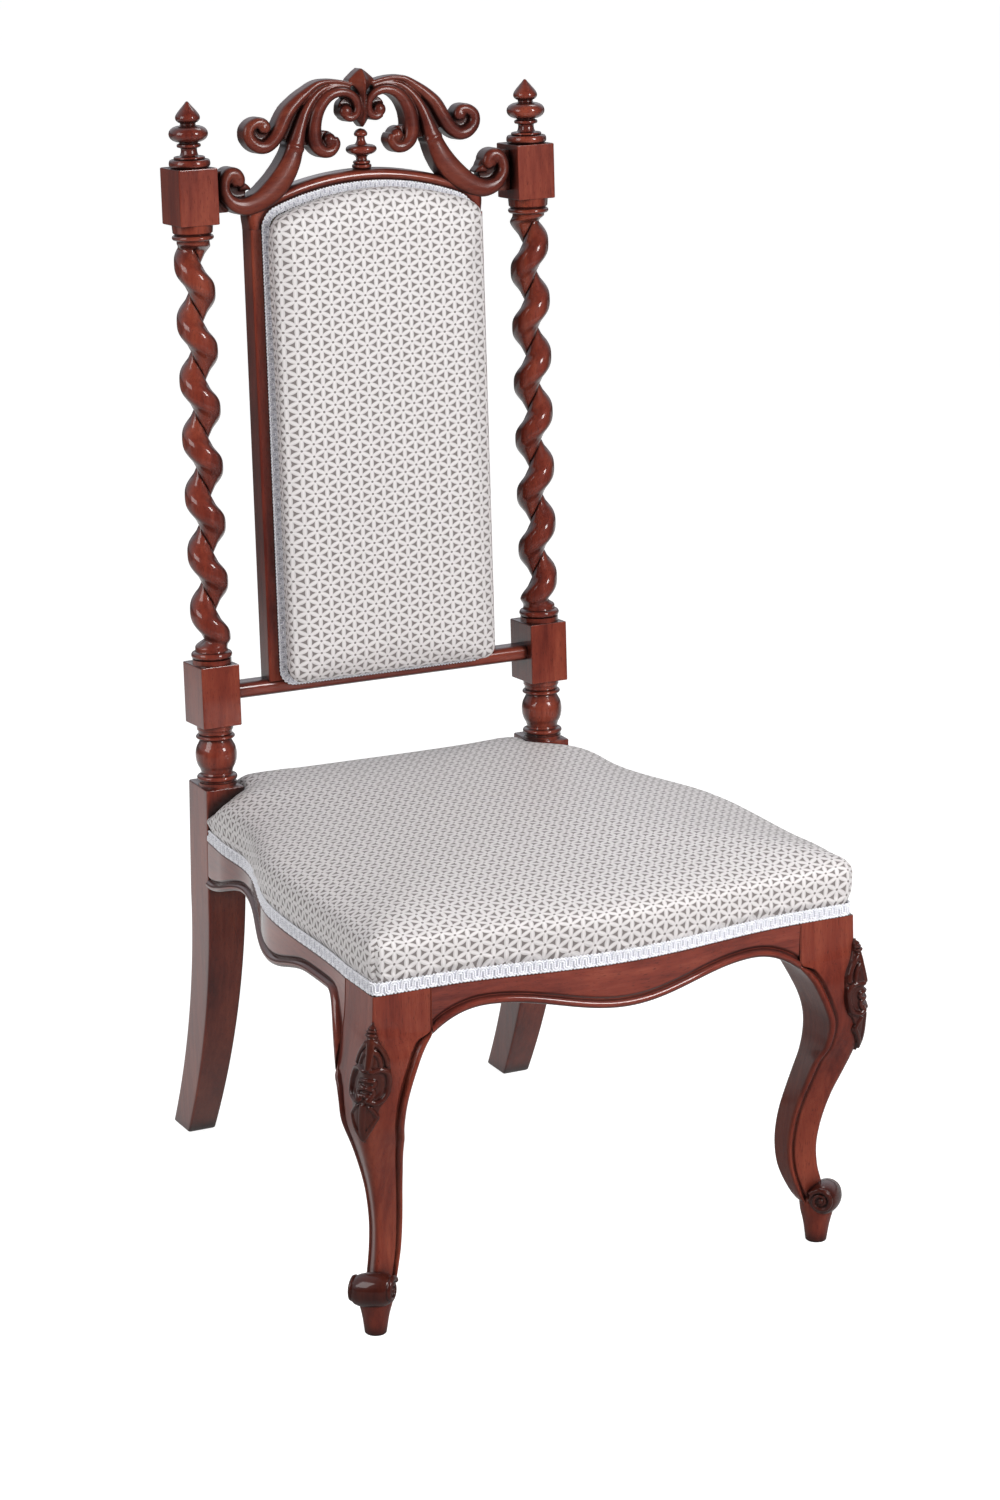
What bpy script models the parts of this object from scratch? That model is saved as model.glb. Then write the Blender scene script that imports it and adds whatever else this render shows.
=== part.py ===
"""Hall chair with barley-twist back posts, a carved crest and an upholstered seat and back.

Metres, +Z up, +Y to the rear. The chair stands on z = 0 with its box centred on the origin in X and Y.
"""
import math

import bmesh
import bpy
from mathutils import Matrix, Vector

# Back posts, from the floor up
POST_X = 0.1879
POST_Y = 0.2148
POST_BLOCK = 0.042
BACK_LEAN = math.radians(4.11)
LOW_BLOCK_TOP = 0.4011
VASE_HEIGHT = 0.0626
MID_BLOCK_HEIGHT = 0.0633
LOWER_COLLAR_HEIGHT = 0.017
TWIST_LENGTH = 0.4095
UPPER_COLLAR_HEIGHT = 0.0175
TOP_BLOCK_HEIGHT = 0.0562
NECK_RADIUS = 0.0165

# Turned outlines: share of the height from the piece below, radius
VASE_PROFILE = (
    (0.00, 0.0195), (0.05, 0.0195), (0.065, 0.018), (0.09, 0.0205), (0.17, 0.0205), (0.20, 0.0165),
    (0.24, 0.0165), (0.33, 0.0192), (0.44, 0.0208), (0.55, 0.0207), (0.66, 0.019), (0.74, 0.016),
    (0.78, 0.016), (0.80, 0.020), (0.84, 0.020), (0.88, 0.018), (1.00, 0.0185),
)
LOWER_COLLAR_PROFILE = (
    (0.00, 0.020), (0.30, 0.020), (0.38, 0.0185), (0.48, 0.0205), (0.77, 0.0205), (0.88, NECK_RADIUS),
)
UPPER_COLLAR_PROFILE = (
    (0.10, NECK_RADIUS), (0.18, 0.0205), (0.42, 0.0205), (0.50, 0.0185), (0.60, 0.0205), (1.00, 0.0205),
)

# Barley twist: one strand wound round the post's axis
TWIST_TURNS = 7
TWIST_STEPS_PER_TURN = 9
TWIST_START = math.radians(30)
TWIST_RUN_IN = 0.014
STRAND_CENTRE_RADIUS = 0.0066
STRAND_DEPTH_RADIUS = 0.0134
STRAND_WIDTH_RADIUS = 0.0159

# Rear legs sweep back below the seat
SWEEP_START = 0.280
SWEEP_REACH = 0.0755
SWEEP_POWER = 1.9
SWEEP_STEPS = 8
FOOT_WIDTH = 0.031
FOOT_DEPTH = 0.0386
FOOT_CHAMFER = 0.004

# Finials on the posts: height above the block, radius
FINIAL_PROFILE = (
    (0.0650, 0.0000), (0.0640, 0.0018), (0.0565, 0.0095), (0.0500, 0.0122), (0.0470, 0.0108),
    (0.0440, 0.0088), (0.0410, 0.0108), (0.0365, 0.0180), (0.0325, 0.0197), (0.0290, 0.0180),
    (0.0252, 0.0125), (0.0215, 0.0120), (0.0200, 0.0080), (0.0135, 0.0085), (0.0105, 0.0150),
    (0.0090, 0.0185), (0.0050, 0.0200), (0.0003, 0.0195),
)
FINIAL_SPIGOT_RADIUS = 0.007
FINIAL_SPIGOT_LENGTH = 0.020
TURNED_STEPS = 14
ROUND_SIDES = 12

# Back panel frame, measured along the leaning back
PANEL_HALF_WIDTH = 0.130
PANEL_ARCH_RISE = 0.0431
PANEL_ARCH_RADIUS = 0.300
PANEL_CORNER_RADIUS = 0.035
PANEL_RAIL_WIDTH = 0.028
PANEL_DEPTH = 0.0215
PANEL_FRONT = 0.011
LOWER_RAIL_HEIGHT = 0.0165
LOWER_RAIL_RISE = 0.0239
LOWER_RAIL_ROUND = 0.004
TENON_THICKNESS = 0.009
TENON_LENGTH = 0.014
TENON_SHOULDER = 0.004
TENON_ROUND = 0.0005

# Crest rail: half-span shares and heights above the foot of the top block
STRAND_A = (
    (0.10, 0.127), (0.27, 0.129), (0.39, 0.120), (0.48, 0.104), (0.55, 0.085), (0.63, 0.071),
    (0.71, 0.069), (0.77, 0.078), (0.78, 0.090), (0.72, 0.099),
)
STRAND_B = (
    (0.10, 0.098), (0.055, 0.103), (0.065, 0.115), (0.12, 0.120), (0.21, 0.117), (0.275, 0.106),
    (0.32, 0.090), (0.325, 0.075), (0.29, 0.065), (0.235, 0.062),
)
STRAND_C = (
    (0.14, 0.129), (0.27, 0.125), (0.36, 0.112), (0.42, 0.090), (0.445, 0.078), (0.48, 0.062),
    (0.53, 0.047), (0.60, 0.032), (0.69, 0.022), (0.78, 0.0165), (0.87, 0.0165), (0.93, 0.025),
    (0.945, 0.036), (0.91, 0.047),
)
STRAND_WIDTHS = {"a": (0.013, 0.010), "b": (0.013, 0.011), "c": (0.0165, 0.012)}
STRAND_FRONTS = {"a": 0.0105, "b": 0.0125, "c": 0.0115}
STRAND_BACKS = {"a": 0.0085, "b": 0.0080, "c": 0.0090}
# Strand section: flat share of its face, and how far its shoulders fall, in half widths
STRAND_FLAT = 0.55
STRAND_FALL = 0.60
STRAND_STEPS = 2
# Scroll eyes: half-span share, height, radius, stand forward of the post axis
SCROLL_EYES = (
    (0.68, 0.084, 0.0165, 0.0060), (0.105, 0.108, 0.0120, 0.0070), (0.245, 0.073, 0.0110, 0.0070),
    (0.865, 0.034, 0.0180, 0.0055),
)
# Centre leaf: height, half width, stand forward of the post axis
CREST_LEAF = (
    (0.086, 0.0015, 0.006), (0.093, 0.0080, 0.009), (0.101, 0.0055, 0.013), (0.121, 0.0075, 0.015),
    (0.131, 0.0140, 0.015), (0.137, 0.0100, 0.012), (0.143, 0.0015, 0.008),
)
LEAF_BACK = 0.0075
LEAF_EDGE_SHARE = 0.5
CREST_EAR_SHARE = 0.90
CREST_EAR_LOW = 0.010
CREST_EAR_HIGH = 0.050
CREST_EAR_DEPTH = 0.012

# Small turned finial on the arch: height above the arch, radius
CREST_FINIAL_PROFILE = (
    (0.0400, 0.0000), (0.0390, 0.0035), (0.0360, 0.0065), (0.0340, 0.0065), (0.0325, 0.0035),
    (0.0290, 0.0042), (0.0230, 0.0120), (0.0200, 0.0160), (0.0180, 0.0155), (0.0140, 0.0090),
    (0.0100, 0.0060), (0.0080, 0.0065), (0.0065, 0.0095), (0.0025, 0.0100), (0.0003, 0.0085),
)
CREST_FINIAL_SPIGOT_RADIUS = 0.0035
CREST_FINIAL_SPIGOT_LENGTH = 0.012

# Seat frame
RAIL_TOP = 0.3475
RAIL_DEPTH = 0.0445
RAIL_THICKNESS = 0.024
APRON_RISE = 0.0195
SEAT_CORNER_X = 0.258
SEAT_FRONT_Y = -0.2958
FRONT_BOW = 0.020
FRONT_INNER_SETBACK = 0.0258
SIDE_HOLLOW = 0.007
SIDE_SWELL = 0.014
RAIL_STEPS = 20
# Shares along a rail where its face and its lower edge turn
SIDE_HOLLOW_AT = 0.20
SIDE_SWELL_AT = 0.57
FRONT_RISE_AT = 0.70
SIDE_TURNS_AT = (0.25, 0.56, 0.80)

# Front legs: share of the height below the apron, then outer arris, inner corner and half breadth on
# the corner's diagonal
LEG_BLOCK = 0.060
LEG_STATIONS = (
    (0.990, 0.0035, -0.0760, 0.0425), (0.924, 0.0060, -0.0620, 0.0415), (0.858, 0.0075, -0.0520, 0.0380),
    (0.792, 0.0075, -0.0485, 0.0350), (0.726, 0.0055, -0.0495, 0.0315), (0.660, -0.0005, -0.0530, 0.0280),
    (0.594, -0.0080, -0.0590, 0.0240), (0.528, -0.0170, -0.0650, 0.0210), (0.462, -0.0240, -0.0705, 0.0185),
    (0.396, -0.0290, -0.0740, 0.0170), (0.330, -0.0315, -0.0750, 0.0160), (0.264, -0.0300, -0.0725, 0.0155),
    (0.215, -0.0260, -0.0670, 0.0150), (0.165, -0.0220, -0.0580, 0.0145), (0.139, -0.0200, -0.0510, 0.0135),
)
LEG_ARRIS_ROUND = 0.004
LEG_EDGE_ROUND = 0.0015
LEG_TWIST_LOW = 0.726
LEG_TWIST_HIGH = 0.990
LEG_OFFSET = -0.008
TOE_REACH = -0.022
TOE_HEIGHT = 0.048
TOE_RADIUS = 0.0135
TOE_WIDTH = 0.038
PEG_REACH = -0.030
PEG_TOP_RADIUS = 0.0155
PEG_FOOT_RADIUS = 0.0105
PEG_HEIGHT = 0.050
# Carved knee plate: share of the height below the apron, half width, stand proud of the arris
KNEE_PLATE = (
    (0.700, 0.0020, -0.0010), (0.752, 0.0120, 0.0055), (0.865, 0.0175, 0.0085), (0.964, 0.0125, 0.0060),
    (1.040, 0.0020, -0.0010),
)
KNEE_EDGE_SHARE = 0.5

# Corner blocks and their screws
BRACE_REACH = 0.055
BRACE_DROP = 0.0055
BRACE_HEIGHT = 0.030
SCREW_RADIUS = 0.0022
SCREW_HEAD_RADIUS = 0.0045
SCREW_HEAD_HEIGHT = 0.003
SCREW_LENGTH = 0.0325
SCREW_SIDES = 8
SCREW_SETBACK = 0.016

# Dowels in the seat frame, with their depths below the top of the rails
DOWEL_RADIUS = 0.0045
DOWEL_LENGTH = 0.034
DOWEL_END_ROOM = 0.001
DOWEL_DROPS = (0.030, 0.012)
DOWEL_SIDES = 10

# Webbing and hessian
STRAP_WIDTH = 0.050
STRAP_THICKNESS = 0.002
STRAP_X = (-0.135, -0.045, 0.045, 0.135)
STRAP_Y = (-0.160, -0.030, 0.100)
STRAP_SLOPE = 0.014
STRAP_BEARING = 0.010
HESSIAN_THICKNESS = 0.001
HESSIAN_SETBACK = 0.014

# Seat upholstery
GIMP_THICKNESS = 0.003
SEAT_GIMP_HEIGHT = 0.0125
SEAT_CORNER_ROUND = 0.008
# Seat pad side: height above the hessian, distance inside the rail's face
PAD_SIDE = (
    (0.0000, 0.0033), (0.0080, 0.0033), (0.0105, 0.0012), (0.0240, 0.0000), (0.0380, 0.0010),
    (0.0485, 0.0045), (0.0555, 0.0120), (0.0595, 0.0260),
)
PAD_CROWN = 0.0660
PAD_CROWN_RINGS = (0.72, 0.44, 0.18)

# Back upholstery
BACK_GIMP_WIDTH = 0.0085
BACK_GIMP_INSET = 0.0115
BACK_PAD_BOTTOM = 0.0085
BACK_PAD_CORNER = 0.012
BACK_HESSIAN_SETBACK = 0.001
# Back pad edge: stand forward of the hessian, distance inside the gimp
BACK_PAD_EDGE = (
    (0.0000, 0.0000), (0.0030, 0.0000), (0.0100, -0.0030), (0.0170, -0.0055), (0.0235, -0.0065),
    (0.0285, -0.0050), (0.0320, 0.0005), (0.0340, 0.0100), (0.0352, 0.0240),
)
BACK_PAD_CROWN = 0.0375
BACK_PAD_RINGS = (0.62, 0.28)
COVER_THICKNESS = 0.003
COVER_INSET = 0.008
COVER_RISE = 0.004

# Fits and mesh settings
CLEARANCE = 0.0003
CUT_THROUGH = 0.020
RING_SIDES = 12
MERGE_DISTANCE = 0.00005
SHARP_ANGLE = math.radians(35)

# Worked out from the sizes above
HALF_SPAN = POST_X - POST_BLOCK / 2
POST_FRONT = POST_Y - POST_BLOCK / 2
POST_OUTER = POST_X + POST_BLOCK / 2
MID_BLOCK_LOW = VASE_HEIGHT
MID_BLOCK_TOP = MID_BLOCK_LOW + MID_BLOCK_HEIGHT
TWIST_LOW = MID_BLOCK_TOP + LOWER_COLLAR_HEIGHT
TWIST_TOP = TWIST_LOW + TWIST_LENGTH
TOP_BLOCK_LOW = TWIST_TOP + UPPER_COLLAR_HEIGHT
TOP_BLOCK_TOP = TOP_BLOCK_LOW + TOP_BLOCK_HEIGHT
ARCH_TOP = TOP_BLOCK_LOW + PANEL_ARCH_RISE
LOWER_RAIL_LOW = MID_BLOCK_LOW + LOWER_RAIL_RISE
LOWER_RAIL_TOP = LOWER_RAIL_LOW + LOWER_RAIL_HEIGHT
PANEL_MIDDLE = PANEL_FRONT - PANEL_DEPTH / 2
PANEL_BACK = PANEL_FRONT - PANEL_DEPTH
APRON_LOW = RAIL_TOP - RAIL_DEPTH
APRON_HIGH = APRON_LOW + APRON_RISE
BRACE_HIGH = RAIL_TOP - BRACE_DROP
BRACE_LOW = BRACE_HIGH - BRACE_HEIGHT
LEG_INNER_X = SEAT_CORNER_X - LEG_BLOCK
LEG_BACK_Y = SEAT_FRONT_Y + LEG_BLOCK
FRONT_INNER_Y = SEAT_FRONT_Y + FRONT_INNER_SETBACK
REAR_RAIL_FRONT = POST_Y - RAIL_THICKNESS / 2
REAR_RAIL_BACK = POST_Y + RAIL_THICKNESS / 2
STRAP_LOW = RAIL_TOP + CLEARANCE
STRAP_HIGH = STRAP_LOW + STRAP_THICKNESS + CLEARANCE
HESSIAN_LOW = STRAP_HIGH + STRAP_THICKNESS + CLEARANCE
PAD_LOW = HESSIAN_LOW + HESSIAN_THICKNESS + CLEARANCE
BACK_HESSIAN_FRONT = PANEL_FRONT + CLEARANCE + HESSIAN_THICKNESS
BOX_FRONT = SEAT_FRONT_Y - FRONT_BOW
BOX_REAR = POST_Y + SWEEP_REACH + FOOT_DEPTH / 2
SIDES = {"left": -1, "right": 1}

# Frame of the leaning back: Z up along the posts, Y to the rear, origin between the low blocks
BACK = Matrix.Translation((0, POST_Y, LOW_BLOCK_TOP)) @ Matrix.Rotation(-BACK_LEAN, 4, "X")


def clear_scene():
    for old in list(bpy.data.objects):
        bpy.data.objects.remove(old, do_unlink=True)


def new_collection(name):
    collection = bpy.data.collections.new(name)
    bpy.context.scene.collection.children.link(collection)
    return collection


def new_empty(name, matrix, parent=None):
    empty = bpy.data.objects.new(name, None)
    PARTS.objects.link(empty)
    empty.parent = parent
    empty.matrix_local = matrix
    return empty


def new_material(name, colour, roughness, metallic=0.0):
    material = bpy.data.materials.new(name)
    material.use_nodes = True
    shader = material.node_tree.nodes["Principled BSDF"]
    shader.inputs["Base Color"].default_value = (*colour, 1.0)
    shader.inputs["Roughness"].default_value = roughness
    shader.inputs["Metallic"].default_value = metallic
    return material


def to_mesh(bm, name):
    """Close a bmesh with its faces pointing out and hand it over as a mesh."""
    bmesh.ops.recalc_face_normals(bm, faces=bm.faces)
    if bm.calc_volume(signed=True) < 0:
        bmesh.ops.reverse_faces(bm, faces=bm.faces)
    mesh = bpy.data.meshes.new(name)
    bm.to_mesh(mesh)
    bm.free()
    mesh.shade_smooth()
    mesh.set_sharp_from_angle(angle=SHARP_ANGLE)
    return mesh


def add_part(name, mesh, parent, finish):
    """Link a mesh as one named sub-part with its own copy of a finish."""
    part = bpy.data.objects.new(name, mesh)
    PARTS.objects.link(part)
    part.parent = parent
    material = new_material(name, *FINISHES[finish])
    if mesh.materials:
        mesh.materials[0] = material
    else:
        mesh.materials.append(material)
    return part


def add_cutter(name, mesh, parent):
    """Link a mesh that only shapes other parts."""
    cutter = bpy.data.objects.new(name, mesh)
    CUTTERS.objects.link(cutter)
    cutter.parent = parent
    cutter.hide_render = True
    cutter.display_type = "WIRE"
    return cutter


def shape_by(part, cutter, operation):
    boolean = part.modifiers.new(cutter.name, "BOOLEAN")
    boolean.operation = operation
    boolean.solver = "EXACT"
    boolean.object = cutter


def loft(rings, ring_closed=False):
    """Skin a row of rings that have equal numbers of points, with flat ends unless the row closes."""
    bm = bmesh.new()
    rows = [[bm.verts.new(point) for point in ring] for ring in rings]
    count = len(rows[0])
    pairs = list(zip(rows, rows[1:]))
    if ring_closed:
        pairs.append((rows[-1], rows[0]))
    for low, high in pairs:
        for i in range(count):
            j = (i + 1) % count
            bm.faces.new((low[i], low[j], high[j], high[i]))
    if not ring_closed:
        bm.faces.new(rows[0])
        bm.faces.new(rows[-1])
    return bm


def dome(rings, peak):
    """Skin a row of rings with a flat start and a last point at the peak."""
    bm = loft(rings)
    bm.verts.ensure_lookup_table()
    last = bm.verts[(len(rings) - 1) * len(rings[0]):]
    bm.faces.remove([face for face in bm.faces if len(face.verts) == len(last) and last[0] in face.verts][0])
    top = bm.verts.new(peak)
    for i, vert in enumerate(last):
        bm.faces.new((vert, last[(i + 1) % len(last)], top))
    return bm


def box(low, high):
    bm = bmesh.new()
    bmesh.ops.create_cube(bm, size=1.0)
    low, high = Vector(low), Vector(high)
    bmesh.ops.scale(bm, vec=high - low, verts=bm.verts)
    bmesh.ops.translate(bm, vec=(low + high) / 2, verts=bm.verts)
    return bm


def rod(start, end, radius, sides, end_radius=None):
    """Closed round bar or cone between two points."""
    start, end = Vector(start), Vector(end)
    bm = bmesh.new()
    bmesh.ops.create_cone(
        bm, cap_ends=True, segments=sides, radius1=radius,
        radius2=radius if end_radius is None else end_radius, depth=(end - start).length,
    )
    turn = Vector((0, 0, 1)).rotation_difference(end - start).to_matrix().to_4x4()
    bmesh.ops.transform(bm, matrix=Matrix.Translation((start + end) / 2) @ turn, verts=bm.verts)
    return bm


def turned_mesh(profile, name):
    """Profile of (height, radius), top to bottom, as edges for a Screw modifier."""
    mesh = bpy.data.meshes.new(name)
    points = [(radius, 0, height) for height, radius in profile]
    mesh.from_pydata(points, [(i, i + 1) for i in range(len(points) - 1)], [])
    return mesh


def add_screw_turn(part, steps):
    screw = part.modifiers.new("turned", "SCREW")
    screw.steps = steps
    screw.render_steps = steps
    screw.use_merge_vertices = True
    screw.merge_threshold = MERGE_DISTANCE
    screw.use_smooth_shade = True


def smooth_step(share):
    share = min(max(share, 0.0), 1.0)
    return (1 - math.cos(math.pi * share)) / 2


def through(knots, share):
    """Height at a share of the way along, easing between hand-set knots."""
    for (low, start), (high, end) in zip(knots, knots[1:]):
        if share <= high:
            return start + (end - start) * smooth_step((share - low) / (high - low))
    return knots[-1][1]


def spline(points, steps):
    """Points on a smooth curve through the given ones."""
    padded = [2 * points[0] - points[1], *points, 2 * points[-1] - points[-2]]
    curve = []
    for before, start, end, after in zip(padded, padded[1:], padded[2:], padded[3:]):
        for step in range(steps):
            t = step / steps
            curve.append(
                0.5 * (2 * start + (end - before) * t + (2 * before - 5 * start + 4 * end - after) * t ** 2
                       + (3 * start - before - 3 * end + after) * t ** 3)
            )
    curve.append(points[-1])
    return curve


def inset(points, distance, closed):
    """Move a flat outline to its left by a distance, keeping its corners sharp."""
    count = len(points)
    moved = []
    for i, point in enumerate(points):
        before = points[i - 1] if closed or i > 0 else point
        after = points[(i + 1) % count] if closed or i < count - 1 else point
        normals = []
        for start, end in ((before, point), (point, after)):
            run = end - start
            if run.length > 0:
                normals.append(Vector((-run.y, run.x)).normalized())
        middle = sum(normals, Vector((0, 0))).normalized()
        moved.append(point + middle * distance / middle.dot(normals[0]))
    return moved


# Back posts

RING_ANGLES = [2 * math.pi * (i + 0.5) / RING_SIDES for i in range(RING_SIDES)]


def round_ring(radius):
    return [Vector((radius * math.cos(a), radius * math.sin(a))) for a in RING_ANGLES]


def square_ring(half_x, half_y):
    ring = []
    for angle in RING_ANGLES:
        reach = max(abs(math.cos(angle)), abs(math.sin(angle)))
        ring.append(Vector((half_x * math.cos(angle) / reach, half_y * math.sin(angle) / reach)))
    return ring


def twist_ring(along):
    """Slice of the winding strand, easing out of the round neck at both ends."""
    swell = smooth_step(min(along, TWIST_LENGTH - along) / TWIST_RUN_IN)
    turn = -2 * math.pi * TWIST_TURNS * along / TWIST_LENGTH
    depth = NECK_RADIUS + (STRAND_DEPTH_RADIUS - NECK_RADIUS) * swell
    width = NECK_RADIUS + (STRAND_WIDTH_RADIUS - NECK_RADIUS) * swell
    spin = Matrix.Rotation(TWIST_START + turn, 2)
    ring = []
    for angle in RING_ANGLES:
        local = angle - TWIST_START
        reach = STRAND_CENTRE_RADIUS * swell + depth * math.cos(local)
        ring.append(spin @ Vector((reach, width * math.sin(local))))
    return ring


def rear_leg_rings():
    """Rings of the swept leg, from the foot to the top of the low block, about the post's axis."""
    heights = [FOOT_CHAMFER + (SWEEP_START - FOOT_CHAMFER) * i / SWEEP_STEPS for i in range(SWEEP_STEPS + 1)]
    rings = []
    for height in [0.0, *heights, LOW_BLOCK_TOP]:
        share = max(0.0, 1 - height / SWEEP_START)
        trim = FOOT_CHAMFER if height == 0 else 0.0
        half_x = (POST_BLOCK + (FOOT_WIDTH - POST_BLOCK) * share) / 2 - trim
        half_y = (POST_BLOCK + (FOOT_DEPTH - POST_BLOCK) * share) / 2 - trim
        back = Vector((0, SWEEP_REACH * share ** SWEEP_POWER))
        rings.append([(point + back, height) for point in square_ring(half_x, half_y)])
    return [[Vector((p.x, p.y + POST_Y, z)) for p, z in ring] for ring in rings]


def upper_post_rings():
    """Rings above the low block: vase, block, collar, twist, collar, block and finial socket."""
    block = square_ring(POST_BLOCK / 2, POST_BLOCK / 2)
    socket = round_ring(FINIAL_SPIGOT_RADIUS + CLEARANCE)
    rows = [(share * VASE_HEIGHT, round_ring(radius)) for share, radius in VASE_PROFILE]
    rows += [(MID_BLOCK_LOW, block), (MID_BLOCK_TOP, block)]
    rows += [(MID_BLOCK_TOP + s * LOWER_COLLAR_HEIGHT, round_ring(r)) for s, r in LOWER_COLLAR_PROFILE]
    steps = TWIST_TURNS * TWIST_STEPS_PER_TURN
    for i in range(steps + 1):
        along = TWIST_LENGTH * i / steps
        rows.append((TWIST_LOW + along, twist_ring(along)))
    rows += [(TWIST_TOP + s * UPPER_COLLAR_HEIGHT, round_ring(r)) for s, r in UPPER_COLLAR_PROFILE]
    rows += [(TOP_BLOCK_LOW, block), (TOP_BLOCK_TOP, block), (TOP_BLOCK_TOP, socket)]
    rows += [(TOP_BLOCK_TOP - FINIAL_SPIGOT_LENGTH - DOWEL_END_ROOM, socket)]
    return [[BACK @ Vector((p.x, p.y, height)) for p in ring] for height, ring in rows]


def make_post(side, sign):
    rings = rear_leg_rings() + upper_post_rings()
    placed = [[Vector((-sign * p.x + sign * POST_X, p.y, p.z)) for p in ring] for ring in rings]
    return add_part(f"back_post_{side}", to_mesh(loft(placed), "post"), CHAIR, "mahogany")


def make_finial(side, sign):
    foot = FINIAL_PROFILE[-1][0]
    radius, length = FINIAL_SPIGOT_RADIUS, FINIAL_SPIGOT_LENGTH
    spigot = ((foot, radius), (-length, radius), (-length, 0.0))
    part = add_part(f"finial_{side}", turned_mesh(FINIAL_PROFILE + spigot, "finial"), TILTED, "mahogany")
    part.location = (sign * POST_X, 0, TOP_BLOCK_TOP)
    add_screw_turn(part, TURNED_STEPS)


# Back panel frame

ARCH_CENTRE = Vector((0, ARCH_TOP - PANEL_ARCH_RADIUS))
CORNER_X = PANEL_HALF_WIDTH - PANEL_CORNER_RADIUS
CORNER_CENTRE = Vector((
    CORNER_X,
    ARCH_CENTRE.y + math.sqrt((PANEL_ARCH_RADIUS - PANEL_CORNER_RADIUS) ** 2 - CORNER_X ** 2),
))
CORNER_START = math.atan2(CORNER_CENTRE.y - ARCH_CENTRE.y, CORNER_CENTRE.x)
ARCH_STEPS = 7
CORNER_STEPS = 4


def arch_outline(distance):
    """Arched head of the panel, a distance inside its edge, from its right stile over to its left one."""
    half = []
    corner_radius, arch_radius = PANEL_CORNER_RADIUS - distance, PANEL_ARCH_RADIUS - distance
    for i in range(CORNER_STEPS):
        angle = CORNER_START * i / CORNER_STEPS
        half.append(CORNER_CENTRE + corner_radius * Vector((math.cos(angle), math.sin(angle))))
    for i in range(ARCH_STEPS):
        angle = CORNER_START + (math.pi / 2 - CORNER_START) * i / ARCH_STEPS
        half.append(ARCH_CENTRE + arch_radius * Vector((math.cos(angle), math.sin(angle))))
    crown = Vector((0, ARCH_TOP - distance))
    return half + [crown] + [Vector((-p.x, p.y)) for p in reversed(half)]


def panel_outline(distance, bottom):
    """Closed outline of the panel, a distance inside its edge, with a rounded foot at a given height."""
    corner = Vector((PANEL_HALF_WIDTH - distance - BACK_PAD_CORNER, bottom + BACK_PAD_CORNER))
    foot = []
    for i in range(CORNER_STEPS + 1):
        angle = -math.pi / 2 * i / CORNER_STEPS
        foot.append(corner + BACK_PAD_CORNER * Vector((math.cos(angle), math.sin(angle))))
    left_foot = [Vector((-p.x, p.y)) for p in foot]
    return arch_outline(distance) + left_foot + list(reversed(foot))


def on_back(outline, forward):
    """Lift a flat outline to a distance forward of the post axis, in the leaning frame."""
    return [Vector((p.x, -forward, p.y)) for p in outline]


def make_arch_rail():
    outer, inner = arch_outline(0.0), arch_outline(PANEL_RAIL_WIDTH)
    edges = [on_back(outer, PANEL_FRONT), on_back(outer, PANEL_BACK), on_back(inner, PANEL_BACK),
             on_back(inner, PANEL_FRONT)]
    return add_part("arch_rail", to_mesh(loft(list(zip(*edges))), "arch_rail"), TILTED, "mahogany")


def tenon_box(low, high, room):
    """Tenon set in from the panel rails' faces, grown by the room that its mortise leaves."""
    half = TENON_THICKNESS / 2 + room
    return box((low[0], -PANEL_MIDDLE - half, low[1]), (high[0], -PANEL_MIDDLE + half, high[1]))


def make_stile(side, sign):
    """Upright with a stub tenon at each end, from the lower rail to the arch rail."""
    low, high = LOWER_RAIL_TOP + CLEARANCE, CORNER_CENTRE.y - CLEARANCE
    edges = sorted((sign * PANEL_HALF_WIDTH, sign * (PANEL_HALF_WIDTH - PANEL_RAIL_WIDTH)))

    def ring(height, trim, front, back):
        left, right = edges[0] + trim, edges[1] - trim
        return [Vector((left, -front, height)), Vector((right, -front, height)),
                Vector((right, -back, height)), Vector((left, -back, height))]

    full = (0.0, PANEL_FRONT, PANEL_BACK)
    stub = (TENON_SHOULDER, PANEL_MIDDLE + TENON_THICKNESS / 2, PANEL_MIDDLE - TENON_THICKNESS / 2)
    reach = TENON_LENGTH - TENON_SHOULDER
    rings = [ring(low - reach, *stub), ring(low, *stub), ring(low, *full)]
    rings += [ring(high, *full), ring(high, *stub), ring(high + reach, *stub)]
    add_part(f"panel_stile_{side}", to_mesh(loft(rings), "stile"), TILTED, "mahogany")
    left = edges[0] + TENON_SHOULDER - CLEARANCE
    right = edges[1] - TENON_SHOULDER + CLEARANCE
    mortises = []
    deep = reach + DOWEL_END_ROOM
    for end, start, stop in (("foot", low - deep, low), ("head", high, high + deep)):
        mesh = to_mesh(tenon_box((left, start - CLEARANCE), (right, stop + CLEARANCE), CLEARANCE), "mortise")
        mortises.append(add_cutter(f"mortise_{end}_{side}", mesh, TILTED))
    return mortises


def make_lower_rail():
    """Round-edged rail between the mid blocks, with a tenon into each."""
    def ring(x, trim, front, back):
        low, high = LOWER_RAIL_LOW + trim, LOWER_RAIL_TOP - trim
        r = LOWER_RAIL_ROUND if trim == 0 else TENON_ROUND
        return [Vector((x, -back, low)), Vector((x, -front + r, low)), Vector((x, -front, low + r)),
                Vector((x, -front, high - r)), Vector((x, -front + r, high)), Vector((x, -back, high))]

    full = (0.0, PANEL_FRONT, PANEL_BACK)
    stub = (TENON_SHOULDER, PANEL_MIDDLE + TENON_THICKNESS / 2, PANEL_MIDDLE - TENON_THICKNESS / 2)
    shoulder = HALF_SPAN - CLEARANCE
    tip = shoulder + TENON_LENGTH
    rings = [ring(-tip, *stub), ring(-shoulder, *stub), ring(-shoulder, *full), ring(shoulder, *full),
             ring(shoulder, *stub), ring(tip, *stub)]
    return add_part("back_lower_rail", to_mesh(loft(rings), "lower_rail"), TILTED, "mahogany")


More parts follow.
